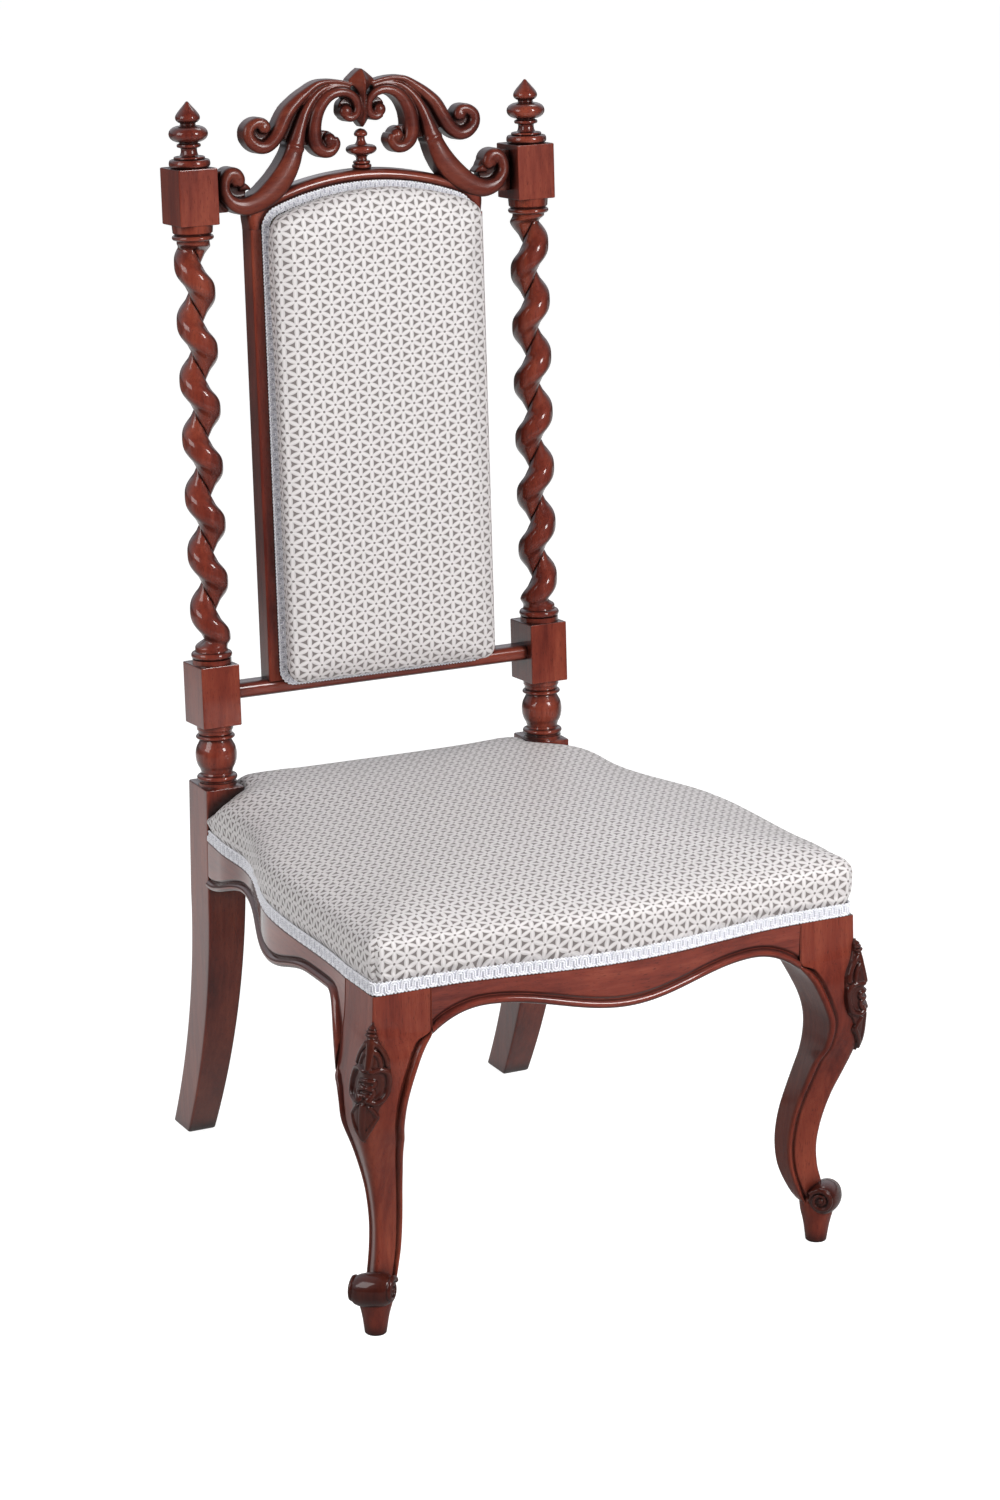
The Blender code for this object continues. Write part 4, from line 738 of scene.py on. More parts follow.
def make_post(side, sign):
    """One timber from the floor to the top block: swept leg, blocks, turnings and twist."""
    rings = []
    half = POST_BLOCK / 2
    sweep = [(height, 0.0) for height in np.linspace(SWEEP_LOW, SWEEP_START, SWEEP_ROWS)]
    for height, trim in (*FOOT_CHAMFER, *sweep, *top_edge(LOW_BLOCK_TOP)):
        share = max(0.0, 1 - height / SWEEP_START)
        half_x = half + (FOOT_WIDTH / 2 - half) * share - trim
        half_y = half + (FOOT_DEPTH / 2 - half) * share - trim
        ring = square_ring(half_x, half_y, LEG_CORNER_ROUND)
        ring[:, 1] = deepened(ring[:, 1], half_y, POST_BACK * (1 - POST_BACK_FADE * share))
        ring += (0.0, POST_Y + SWEEP_REACH * share ** SWEEP_POWER)
        rings.append(placed(at_height(ring, height)))
    rows = turned_rows(VASE, 0.0)
    rows += block_rows(MID_BLOCK_LOW, MID_BLOCK_TOP)
    rows += turned_rows(LOWER_COLLAR, MID_BLOCK_TOP)
    for along in np.linspace(0.0, TWIST_LENGTH, TWIST_TURNS * ROWS_PER_TURN + 1):
        rows.append((TWIST_LOW + along, twist_ring(along)))
    rows += turned_rows(UPPER_COLLAR, TWIST_TOP)
    rows += block_rows(TOP_BLOCK_LOW, TOP_BLOCK_TOP)
    for height, ring in rows:
        rings.append(on_back(at_height(ring * (1, -1), height)))
    rings = np.array(rings)
    rings[..., 0] = -sign * rings[..., 0] + sign * POST_X
    dress(skinned(rings).build(f"post_{side}"), WOOD_UPRIGHT, "mahogany", f"back_post_{side}")


def turned(name, rows, x, foot, node_name):
    """Turned piece that stands on the back's frame at a height along the posts."""
    rings = []
    for height, radius in rows:
        ring = round_ring(max(radius, LEAST_RADIUS)) + (x, 0.0)
        rings.append(on_back(at_height(ring, foot + height)))
    dress(skinned(rings).build(name), WOOD_UPRIGHT, "mahogany", node_name)


# Back panel frame

ARCH_CENTRE = np.array([0.0, ARCH_TOP - PANEL_ARCH_RADIUS])
CORNER_X = PANEL_HALF_WIDTH - PANEL_CORNER_RADIUS
CORNER_CENTRE = np.array([
    CORNER_X, ARCH_CENTRE[1] + math.sqrt((PANEL_ARCH_RADIUS - PANEL_CORNER_RADIUS) ** 2 - CORNER_X ** 2)
])
CORNER_START = math.atan2(CORNER_CENTRE[1] - ARCH_CENTRE[1], CORNER_CENTRE[0])
# How far the frame's outer corner stands out beyond a round one, and how far in that fades out
OUTER_SQUARE = 0.0060
OUTER_SQUARE_FADE = 0.013


def arch_outline(distance, corner_steps=14, arch_steps=26):
    """Arched head of the panel, a distance inside its edge, from its right stile over to its left one."""
    angles = CORNER_START * np.arange(corner_steps) / corner_steps
    fade = max(0.0, 1 - distance / OUTER_SQUARE_FADE)
    square = OUTER_SQUARE * fade * np.sin(np.pi * angles / CORNER_START) ** 2
    corner = CORNER_CENTRE + (PANEL_CORNER_RADIUS - distance + square)[:, None] * directions(angles)
    angles = CORNER_START + (math.pi / 2 - CORNER_START) * np.arange(arch_steps) / arch_steps
    arch = ARCH_CENTRE + (PANEL_ARCH_RADIUS - distance) * directions(angles)
    half = np.vstack([corner, arch])
    return np.vstack([half, [[0.0, ARCH_TOP - distance]], half[::-1] * (-1, 1)])


def panel_outline(distance, bottom, steps=8):
    """Closed outline of the panel, a distance inside its edge, with a rounded foot at a given height."""
    angles = -math.pi / 2 * np.arange(steps + 1) / steps
    foot = np.array([PANEL_HALF_WIDTH - distance - BACK_PAD_CORNER, bottom + BACK_PAD_CORNER])
    foot = foot + BACK_PAD_CORNER * directions(angles)
    return np.vstack([arch_outline(distance), foot * (-1, 1), foot[::-1]])


def lifted(outline, forward):
    """Flat outline at a distance forward of the post axis, as x, forward and height."""
    forward = np.broadcast_to(forward, len(outline))
    return np.column_stack([outline[:, 0], forward, outline[:, 1]])


# Section of the panel rails: distance inside the edge, stand forward of the post axis
BEADED_EDGE = (
    (0.0006, PANEL_BACK), (0.0, PANEL_BACK + 0.0006), (0.0, 0.0040), (0.0003, 0.0062), (0.0012, 0.0086),
    (0.0028, 0.0106), (0.0050, 0.0117), (0.0075, 0.0117), (0.0098, 0.0108), (0.0112, 0.0096),
    (0.0122, 0.0100), (0.0130, PANEL_FRONT), (PANEL_RAIL_WIDTH, PANEL_FRONT), (PANEL_RAIL_WIDTH, PANEL_BACK),
)
PLAIN_EDGE = (
    (0.0008, PANEL_BACK), (0.0, PANEL_BACK + 0.0008), (0.0, 0.0088), (0.0004, 0.0102), (0.0014, 0.0110),
    (0.0030, 0.0112), (PANEL_RAIL_WIDTH, PANEL_FRONT), (PANEL_RAIL_WIDTH, PANEL_BACK),
)


# Lower rail: height and depth of its rounded front, rounding of its back edges, length let into each post
LOWER_RAIL_ROUND = 0.0062
LOWER_RAIL_NOSE = 0.0072
LOWER_RAIL_EASE = 0.001
LOWER_RAIL_LET_IN = 0.004
STILE_LET_IN = 0.002
STILE_OVERLAP = 0.0005


def make_panel_frame():
    arch = skinned(np.stack([on_back(lifted(arch_outline(d), f)) for d, f in BEADED_EDGE], 1))
    dress(arch.build("panel_arch"), WOOD_ACROSS, "mahogany", "arch_rail")
    for side, sign in SIDES.items():
        rings = []
        for height in (LOWER_RAIL_TOP - STILE_LET_IN, CORNER_CENTRE[1] + STILE_OVERLAP):
            rings.append([(sign * (PANEL_HALF_WIDTH - d), f, height) for d, f in PLAIN_EDGE])
        stile = skinned(on_back(rings))
        dress(stile.build(f"stile_{side}"), WOOD_UPRIGHT, "mahogany", f"panel_stile_{side}")
    low, high = LOWER_RAIL_LOW, LOWER_RAIL_TOP
    eased_back = PANEL_BACK + LOWER_RAIL_EASE
    section = [(PANEL_BACK, low + LOWER_RAIL_EASE), (eased_back, low)]
    for turn in np.linspace(-90, 90, 17):
        a = math.radians(turn)
        lift = LOWER_RAIL_ROUND * math.sin(a) + math.copysign((high - low) / 2 - LOWER_RAIL_ROUND, turn)
        forward = PANEL_FRONT - LOWER_RAIL_NOSE + LOWER_RAIL_NOSE * math.cos(a)
        section.append((forward, (low + high) / 2 + lift))
    section += [(eased_back, high), (PANEL_BACK, high - LOWER_RAIL_EASE)]
    reach = HALF_SPAN + LOWER_RAIL_LET_IN
    rail = skinned(on_back([[(x, f, s) for f, s in section] for x in np.linspace(-reach, reach, 9)]))
    dress(rail.build("lower_back_rail", sharp=40), WOOD_ACROSS, "mahogany", "back_lower_rail")


# Carved crest: x from the centre, height above the foot of the top blocks and width, in mm, on the left side
CREST_A = (
    (-9, 127.5, 3.5), (-24, 131.0, 4.0), (-36, 132.0, 4.6), (-48.5, 130.0, 6.5), (-62, 121.5, 10.0),
    (-73, 113.0, 12.5), (-82, 104.0, 14.5), (-88, 94.0, 15.5), (-94, 83.5, 15.5), (-101, 75.5, 14.5),
    (-109, 71.5, 13.7), (-118, 73.5, 13.7), (-125, 81.0, 13.2), (-125, 90.0, 12.0), (-118, 95.6, 10.8),
    (-110.5, 95.6, 10.2), (-106.3, 91.0, 9.4), (-109.5, 87.5, 8.0),
)
CREST_B = (
    (-20.5, 97.0, 7.0), (-14.5, 94.5, 8.0), (-8, 97.5, 9.0), (-5.6, 105.0, 9.0), (-8, 113.0, 9.0),
    (-15, 119.0, 9.2), (-26, 121.0, 9.8), (-38, 117.0, 11.5), (-47.5, 107.0, 13.5), (-53, 94.0, 15.5),
    (-54.5, 80.0, 17.0), (-52, 69.5, 15.5), (-45, 63.0, 12.5), (-36.5, 63.0, 11.5), (-31, 69.5, 10.0),
    (-33, 75.5, 9.0),
)
CREST_C = (
    (-12, 125.0, 3.0), (-28, 127.6, 3.8), (-43, 124.5, 5.6), (-55, 115.5, 8.0), (-64, 103.0, 10.5),
    (-70.5, 88.0, 13.0), (-76.4, 70.7, 17.2), (-82.8, 55.3, 21.0), (-92.3, 40.6, 23.6), (-105.4, 27.4, 23.6),
    (-119.5, 18.6, 20.5), (-134, 14.8, 18.0), (-147, 18.5, 14.5), (-155, 29.0, 12.2), (-155, 40.0, 12.4),
    (-149.5, 47.4, 13.2), (-142, 46.6, 13.2), (-138.6, 40.5, 12.0), (-142, 36.5, 9.0),
)
CREST_LEAFLET = ((-138, 34.0, 8.0), (-131.5, 33.8, 6.5), (-125.5, 31.0, 2.0))
# Knob at the heart of each scroll: x, height, radius, stand forward
CREST_KNOBS = (
    (-110.0, 90.6, 5.6, 11.2), (-18.6, 101.2, 7.2, 11.5), (-37.6, 74.4, 7.0, 11.0), (-142.6, 40.4, 6.2, 12.6),
)
# Rise of a knob's dome by its radius, and the angles of its rings
KNOB_DOME = 0.75
KNOB_ANGLES = (20, 40, 58, 74, 86)
# Sunk ground behind each scroll: x, height, radius
CREST_GROUNDS = ((-114.5, 84.5, 13.5), (-15.5, 104.5, 10.0), (-41.0, 72.5, 11.0), (-145.0, 33.0, 15.5))
CREST_GROUND_FRONT = 3.5
CREST_BACK = -8.8
# Strands: line, stand forward of the crown at start, middle and end, most drop of the edges, collar's place
CREST_STRANDS = (
    (CREST_A, (8.0, 11.5, 10.5), 8.0, None),
    (CREST_B, (11.0, 12.5, 11.0), 8.0, None),
    (CREST_C, (7.5, 16.0, 13.0), 5.5, (-77.5, 70.0)),
    (CREST_LEAFLET, (8.0, 8.0, 6.0), 3.0, None),
)
# Share of the line at the middle, drop of the edges by the width, and power of the domed face
STRAND_MIDDLE = 0.45
STRAND_DROP = 0.46
STRAND_DOME = 0.9
COLLAR_REACH = 2.6
COLLAR_LIFT = 1.1
COLLAR_WIDEN = 1.6
# Webs between two strands, by the parts of their lines that bound them
CREST_WEBS = ((CREST_A[:9], CREST_C[:7]), (CREST_C[:7], CREST_B[4:12]))
# Ears that meet the posts: inner end, gap at the post, low and high edge, back and front
EAR_INNER_X = 150.0
EAR_GAP = 0.3
EAR_LOW = 9.5
EAR_HIGH = 51.0
EAR_BACK = -7.5
EAR_FRONT = 3.0
# Centre leaf: height, half width, stand forward of its keel and of its edge
CREST_LEAF = (
    (84.5, 0.6, 6.5, 5.5), (88.5, 4.2, 10.0, 5.5), (92.5, 6.2, 11.8, 6.0), (98.0, 4.0, 13.2, 7.0),
    (110.0, 3.6, 13.8, 8.0), (119.0, 4.6, 14.6, 8.6), (125.0, 8.6, 15.2, 8.4), (131.5, 13.8, 14.8, 7.4),
    (136.0, 9.8, 12.4, 7.0), (140.0, 5.2, 10.0, 6.6), (143.0, 0.6, 7.8, 6.6),
)
LEAF_LEAST_HALF = 0.4
# Voxel in metres and rounds of softening of the carved board
CREST_VOXEL = 0.00075
CREST_SOFTENING = 7


def crest_point(x, forward, height):
    return on_back(np.stack(np.broadcast_arrays(
        np.asarray(x) / 1000, np.asarray(forward) / 1000, TOP_BLOCK_LOW + np.asarray(height) / 1000), -1))


def crest_strand(shell, points, crowns, most_drop, collar_at, sign):
    """Carved strand with a domed face, swept along a smooth line."""
    line = spline(points, 9)
    path, width = line[:, :2] * (-sign, 1), np.maximum(line[:, 2], 1.0)
    across = outline_normals(path, False)
    share = np.linspace(0.0, 1.0, len(line))
    crown = through(((0.0, crowns[0]), (STRAND_MIDDLE, crowns[1]), (1.0, crowns[2])), share)
    if collar_at is not None:
        distance = np.linalg.norm(path - np.array(collar_at) * (-sign, 1), axis=1)
        near = np.exp(-(distance / COLLAR_REACH) ** 4)
        crown = crown + COLLAR_LIFT * near
        width = width + COLLAR_WIDEN * near
    drop = np.minimum(width * STRAND_DROP, most_drop)
    foot = np.full(len(line), CREST_BACK)
    section = [(-width / 2, foot)]
    for a in np.radians(np.linspace(-90, 90, 13)):
        section.append((math.sin(a) * width / 2, crown - drop * (1 - math.cos(a) ** STRAND_DOME)))
    section.append((width / 2, foot))
    rows = [crest_point(path[:, 0] + across[:, 0] * s, f, path[:, 1] + across[:, 1] * s) for s, f in section]
    shell.skin(np.stack(rows, 1))


def crest_slab(shell, x, heights, back, front):
    """Flat slab with the given outline, between two depths."""
    shell.skin([crest_point(x, forward, heights) for forward in (back, front)])


def make_crest():
    """Paired scrolls and the centre leaf, carved from one board."""
    shell = Shell()
    rings = []
    for height, half, keel, edge in spline(CREST_LEAF, 4):
        rise = keel - edge
        shape = ((-1.0, CREST_BACK + 1), (-1.0, edge - 1.2), (-0.86, edge), (-0.45, edge + rise * 0.42),
                 (-0.1, edge + rise * 0.93), (0.0, keel))
        shape += tuple((-x, f) for x, f in reversed(shape[:-1]))
        rings.append([crest_point(x * max(half, LEAF_LEAST_HALF), f, height) for x, f in shape])
    shell.skin(rings)
    for sign in SIDES.values():
        for strand in CREST_STRANDS:
            crest_strand(shell, *strand, sign)
        for first, second in CREST_WEBS:
            web = np.vstack([spline(first, 5), spline(second, 5)[::-1]])
            crest_slab(shell, -sign * web[:, 0], web[:, 1], CREST_BACK, CREST_GROUND_FRONT)
        for x, height, radius in CREST_GROUNDS:
            circle = (-sign * x, height) + radius * directions(full_turn(32))
            crest_slab(shell, circle[:, 0], circle[:, 1], CREST_BACK, CREST_GROUND_FRONT)
        for x, height, radius, front in CREST_KNOBS:
            dome = radius * KNOB_DOME
            steps = [(CREST_BACK + 0.5, 1.0), (front - dome, 1.0)]
            steps += [(front - dome * (1 - math.sin(t)), math.cos(t)) for t in np.radians(KNOB_ANGLES)]
            rows = []
            for forward, size in steps:
                circle = (-sign * x, height) + radius * size * directions(full_turn(24))
                rows.append(crest_point(circle[:, 0], forward, circle[:, 1]))
            shell.skin(rows)
        near, far = sorted((sign * EAR_INNER_X, sign * (HALF_SPAN * 1000 - EAR_GAP)))
        crest_slab(shell, (near, far, far, near), (EAR_LOW, EAR_LOW, EAR_HIGH, EAR_HIGH), EAR_BACK, EAR_FRONT)
    piece = shell.build("crest", flatten=False)
    remeshed(piece, CREST_VOXEL, CREST_SOFTENING)
    piece.data.shade_smooth()
    dress(piece, WOOD_CARVED, "mahogany", "crest_rail")


# Front legs: share of the height below the apron, then outer arris, inner corner and half breadth
LEG_STATIONS = (
    (1.147, 0.0000, -0.0849, 0.0424), (1.064, 0.0012, -0.0845, 0.0424), (1.020, 0.0036, -0.0810, 0.0425),
    (0.990, 0.0064, -0.0760, 0.0425), (0.924, 0.0108, -0.0640, 0.0415), (0.858, 0.0116, -0.0545, 0.0380),
    (0.792, 0.0105, -0.0500, 0.0350), (0.726, 0.0080, -0.0500, 0.0315), (0.660, 0.0008, -0.0530, 0.0280),
    (0.594, -0.0080, -0.0590, 0.0240), (0.528, -0.0170, -0.0650, 0.0210), (0.462, -0.0240, -0.0705, 0.0185),
    (0.396, -0.0290, -0.0740, 0.0170), (0.330, -0.0315, -0.0750, 0.0160), (0.264, -0.0300, -0.0725, 0.0155),
    (0.215, -0.0260, -0.0670, 0.0150), (0.165, -0.0220, -0.0580, 0.0145), (0.139, -0.0200, -0.0510, 0.0135),
)
# Points of the section along each inner face, as shares of the way to the inner corner
INNER_SHARES = (0.06, 0.3, 0.6, 0.9, 0.97)
LEG_OFFSET = -0.008
LEG_TWIST_LOW = 0.726
LEG_TWIST_HIGH = 0.990
TOE_REACH = -0.022
TOE_HEIGHT = 0.0465
TOE_RADIUS = 0.0140
TOE_WIDTH = 0.038
PEG_REACH = -0.030
TOE_OFFSET = -0.0095
TOE_TILT = 0.0022
# Distance that the arris is rounded over, by share of the height
ARRIS_ROUND = ((0.13, 0.010), (0.45, 0.012), (0.70, 0.014), (0.95, 0.008), (1.06, 0.002), (1.15, 0.0015))
# Width of the bead along the front edge and the side edge, by share of the height
FRONT_BEAD = (
    (0.13, 0.0042), (0.40, 0.0050), (0.75, 0.0064), (0.90, 0.0075), (0.985, 0.0085), (1.012, 0.0012),
    (1.15, 0.001),
)
SIDE_BEAD = ((0.13, 0.0042), (0.40, 0.0050), (0.75, 0.0064), (0.840, 0.0078), (0.870, 0.0012), (1.15, 0.001))
# Section of that bead in its own widths: distance back from the edge, stand out from the face
BEAD_SECTION = (
    (1.55, -0.10), (1.35, -0.30), (1.18, -0.36), (1.05, -0.20), (0.92, 0.10), (0.75, 0.30), (0.52, 0.38),
    (0.30, 0.29), (0.12, 0.10), (0.0, -0.12),
)
BEAD_START = 1.75
# Shares of the height between which the section passes over to the beaded edges
EDGE_LOW, EDGE_HIGH = 0.60, 0.68
# How far the beaded edges sit behind the middle of the lower leg's section
EDGE_SET_IN = 0.004
# Beaded edges above the knee: share of the height, distance from the seat's corner, stand out from the rail
LEG_FRONT_EDGE = (
    (0.58, 0.0390, -0.0175), (0.60, 0.0378, -0.0152), (0.66, 0.0350, -0.0060), (0.721, 0.0300, 0.0045),
    (0.796, 0.0295, 0.0115), (0.858, 0.0350, 0.0112), (0.935, 0.0455, 0.0078), (0.970, 0.0525, 0.0048),
    (1.000, 0.0597, 0.0020), (1.030, 0.0600, 0.0010), (1.147, 0.0600, 0.0),
)
LEG_SIDE_EDGE = (
    (0.58, 0.0500, -0.0060), (0.60, 0.0490, -0.0035), (0.6716, 0.0452, 0.0068), (0.719, 0.0440, 0.0120),
    (0.7706, 0.0480, 0.0122), (0.8125, 0.0544, 0.0108), (0.842, 0.0600, 0.0097), (0.891, 0.0600, 0.0071),
    (0.9406, 0.0600, 0.0048), (1.000, 0.0600, 0.0025), (1.056, 0.0600, 0.0008), (1.147, 0.0600, 0.0),
)


def corner_points(along, across, height, sign):
    """Points by their distances along and across the seat corner's diagonal."""
    along, across, height = np.broadcast_arrays(along, across, height)
    x = SEAT_CORNER_X + (along - across) / math.sqrt(2)
    y = SEAT_FRONT_Y - (along + across) / math.sqrt(2)
    return placed(np.stack([sign * x, y, height], -1))


def leg_drift(share):
    return LEG_OFFSET * eased((LEG_TWIST_HIGH - share) / (LEG_TWIST_HIGH - LEG_TWIST_LOW))


def edge_corner(line, share, way):
    """Beaded corner of the leg's section, from its line on the front or the side."""
    curve = spline(line, 10)
    inward = np.minimum(np.interp(share, curve[:, 0], curve[:, 1]), LEG_BLOCK)
    out = np.interp(share, curve[:, 0], curve[:, 2])
    return np.array([out - inward, way * (out + inward)]) / math.sqrt(2)


def leg_face(start, run, other, length, way, arris, bead):
    """Points from the middle of the arris along one outer face to its beaded edge."""
    outward = way * np.array([run[1], -run[0]])
    arris = min(arris, length * 0.5)
    points = [start + arris * (run * t ** 2 + other * (1 - t) ** 2) for t in np.linspace(0.5, 1.0, 7)]
    flat_end = length - BEAD_START * bead
    for share in np.linspace(0.25, 1.0, 4):
        points.append(start + run * (arris + (flat_end - arris) * share))
    for back, lift in BEAD_SECTION:
        points.append(start + run * (length - back * bead) + outward * lift * bead)
    return points


def leg_ring(share, outer, inner, half):
    """Section of the leg on the corner's diagonal, from its arris round by its front and inner edges."""
    drift = float(leg_drift(share))
    arris = float(through(ARRIS_ROUND, share))
    beads = [float(through(widths, share)) for widths in (FRONT_BEAD, SIDE_BEAD)]
    middle = (outer + inner) / 2
    set_in = middle - EDGE_SET_IN
    blend = float(eased((share - EDGE_LOW) / (EDGE_HIGH - EDGE_LOW)))
    corners = []
    for line, way in ((LEG_FRONT_EDGE, 1), (LEG_SIDE_EDGE, -1)):
        below = np.array([set_in, drift + way * half])
        corners.append(below + (edge_corner(line, share, way) - below) * blend)
    back = np.array([inner, drift])
    slope = math.atan2(half, outer - middle)
    start = np.array([outer + arris * math.cos(slope) / 2, drift])
    lengths = [np.linalg.norm(corner - start) for corner in corners]
    runs = [(corner - start) / length for corner, length in zip(corners, lengths)]
    front = leg_face(start, runs[0], runs[1], lengths[0], 1, arris, beads[0])
    side = leg_face(start, runs[1], runs[0], lengths[1], -1, arris, beads[1])
    inner_points = [corners[0] + (back - corners[0]) * s for s in INNER_SHARES]
    inner_points += [corners[1] + (back - corners[1]) * s for s in INNER_SHARES[::-1]]
    return np.array(front + inner_points + side[::-1][:-1])


LEG_ROWS = spline(LEG_STATIONS, 7)

# Carved knee: half width of the plate at heights from its lower point, both in mm
KNEE_OUTLINE = (
    (0, 0.6), (8, 4.5), (16, 8.5), (23, 12.5), (26, 12.0), (29, 10.5), (36, 13.0), (42, 17.0), (50, 18.6),
    (60, 18.8), (68, 17.6), (74, 16.6), (80, 15.4), (86, 12.5), (93, 8.2), (99, 5.0), (104, 3.2), (109, 2.0),
    (113, 0.6),
)
# Carved ridges: half width and height of the ridge, then its line, in mm, on the plate's right half
KNEE_RIDGES = (
    (2.6, 2.3, ((2.5, 71), (8, 72), (14, 68.5), (16.4, 60), (16.2, 50), (13, 43), (7, 40.5), (3.2, 43.5),
                (4.5, 47))),
    (2.0, 1.7, ((0.8, 62), (5.0, 61), (5.4, 57), (1.0, 54.5))),
    (2.0, 1.7, ((1.0, 54.5), (5.2, 52), (5.0, 47.5), (1.0, 47))),
    (2.2, 1.8, ((1.5, 97), (7, 90), (11.5, 82), (13.5, 75))),
    (1.9, 1.5, ((1.2, 90), (5.2, 84), (7.6, 77), (8.0, 73.5))),
    (1.7, 1.3, ((4.6, 36), (8.5, 29), (9.8, 25), (6.5, 17), (2.5, 8), (0.4, 2))),
)
KNEE_SPINE = (
    (2.0, 2.2, ((0, 73), (0, 100))), (2.4, 1.3, ((0, 4), (0, 37))), (2.2, 1.4, ((0, 103), (0, 111))),
)
# Beads up the middle: height and radius, then their rise by the radius
KNEE_BEADS = ((103.5, 2.6), (107.0, 2.1), (110.0, 1.6))
KNEE_BEAD_RISE = 1.3
# Plate: its rise and the width of its edge, the groove round it, and the hollow in its middle
PLATE_RISE = 1.7
PLATE_EDGE = 1.4
GROOVE_DEPTH = 1.2
GROOVE_WIDTH = 1.2
HOLLOW_DEPTH = 0.9
HOLLOW_HEIGHT = 55.5
HOLLOW_RADII = (13.0, 13.5)
# Grid of the relief: reach to each side, lowest and highest row, and pitch
KNEE_REACH = 27.0
KNEE_LOW = -2.0
KNEE_HIGH = 115.0
KNEE_PITCH = 0.5
# Thickness of the carved skin, in metres
KNEE_BACKING = 0.003
# Points of the leg's section from its arris to one beaded edge
FACE_POINTS = 21
KNEE_FOOT = 0.2085
KNEE_SPREAD = 1.25
KNEE_DEPTH = 1.5


def ridge_height(across, up, half_width, height, line):
    """Rounded ridge along a smooth line on the plate."""
    path = spline(line, 8)
    nearest = np.full(across.shape, 1e9)
    for (x0, y0), (x1, y1) in zip(path, path[1:]):
        dx, dy = x1 - x0, y1 - y0
        t = np.clip(((across - x0) * dx + (up - y0) * dy) / max(dx * dx + dy * dy, 1e-9), 0.0, 1.0)
        nearest = np.minimum(nearest, np.hypot(across - x0 - t * dx, up - y0 - t * dy))
    return height * np.sqrt(np.clip(1 - (nearest / half_width) ** 2, 0.0, 1.0))


def knee_relief(across, up):
    """Height of the carving over the leg's face, in mm."""
    heights, halves = np.array(KNEE_OUTLINE, float).T
    inside = np.interp(up, heights, halves) - np.abs(across)
    plate = PLATE_RISE * np.clip(inside / PLATE_EDGE + 0.5, 0.0, 1.0)
    plate = plate - GROOVE_DEPTH * np.clip(-inside / GROOVE_WIDTH, 0.0, 1.0)
    from_middle = np.hypot(across / HOLLOW_RADII[0], (up - HOLLOW_HEIGHT) / HOLLOW_RADII[1])
    plate -= HOLLOW_DEPTH * np.clip(1 - from_middle ** 4, 0.0, 1.0)
    carved = np.zeros(across.shape)
    for half_width, height, line in KNEE_RIDGES:
        carved = np.maximum(carved, ridge_height(np.abs(across), up, half_width, height, line))
    for half_width, height, line in KNEE_SPINE:
        carved = np.maximum(carved, ridge_height(across, up, half_width, height, line))
    for centre, radius in KNEE_BEADS:
        reach = np.hypot(across, up - centre)
        dome = np.sqrt(np.clip(radius ** 2 - reach ** 2, 0.0, None))
        carved = np.maximum(carved, KNEE_BEAD_RISE * dome)
    return plate + carved * np.clip(inside / 1.2 + 0.9, 0.0, 1.0)


def knee_surface(rings, heights, across, up):
    """Places on the leg's outer faces by distance from the arris and height."""
    places = np.empty(across.shape + (2,))
    level = np.interp(up[:, 0], heights[::-1], np.arange(len(heights))[::-1])
    for row, at in enumerate(level):
        low = min(int(at), len(rings) - 2)
        ring = rings[low] + (rings[low + 1] - rings[low]) * (at - low)
        front = ring[:FACE_POINTS]
        side = np.vstack([ring[:1], ring[::-1][:FACE_POINTS - 1]])
        for part, keep in ((front, across[row] >= 0), (side, across[row] < 0)):
            places[row, keep] = interpolated(np.abs(across[row][keep]), path_lengths(part), part)
    return places


def make_knee(shell, rings, heights, sign):
    """Carved plate over the leg's outer faces: a fine grid in relief, a back behind it and a rim."""
    across, up = np.meshgrid(np.arange(-KNEE_REACH, KNEE_REACH + 0.01, KNEE_PITCH),
                             np.arange(KNEE_LOW, KNEE_HIGH + 0.01, KNEE_PITCH))
    flat = knee_surface(rings, heights, across / 1000, KNEE_FOOT + up / 1000)
    surface = np.dstack([flat, KNEE_FOOT + up / 1000])
    normals = unit(np.cross(np.gradient(surface, axis=1), np.gradient(surface, axis=0)))
    normals *= np.where(normals[..., :1].mean() > 0, 1.0, -1.0)
    front = surface + normals * (knee_relief(across / KNEE_SPREAD, up) * KNEE_DEPTH / 1000)[..., None]
    under = surface - normals * KNEE_BACKING
    starts = []
    for grid in (front, under):
        starts.append(len(shell.points))
        shell.skin(corner_points(grid[..., 0], grid[..., 1], grid[..., 2], sign), closed=False)
    height, width = across.shape
    rim = [(0, i) for i in range(width)] + [(j, width - 1) for j in range(1, height)]
    rim += [(height - 1, i) for i in range(width - 2, -1, -1)] + [(j, 0) for j in range(height - 2, 0, -1)]
    for (j0, i0), (j1, i1) in zip(rim, rim[1:] + rim[:1]):
        a, b = j0 * width + i0, j1 * width + i1
        shell.faces.append((starts[0] + a, starts[0] + b, starts[1] + b, starts[1] + a))


# Toe's barrel: place from its middle to its end, and size there
TOE_BARREL = ((0.0, 1.12), (0.35, 1.10), (0.66, 1.03), (0.84, 0.94), (0.94, 0.84), (0.99, 0.72), (1.0, 0.62))
TOE_TALLNESS = 1.08
# Spiral on each end: start and turn in degrees, outer size, radius of its eye, thickness at both ends, points
SPIRAL_START = 150
SPIRAL_TURN = 585
SPIRAL_SIZE = 0.86
EYE_RADIUS = 0.0034
SPIRAL_THICK = 0.0030
SPIRAL_THIN = 0.0018
SPIRAL_POINTS = 70
PEG = profile(
    (0.0, 0.0098), ("to", 0.0007, 0.0105),
    ("curve", (0.0080, 0.0115), (0.0160, 0.0127), (0.0240, 0.0144), (0.0310, 0.0162), (0.0370, 0.0172),
     (0.0420, 0.0176), (0.0470, 0.0160), (0.0510, 0.0125)),
)


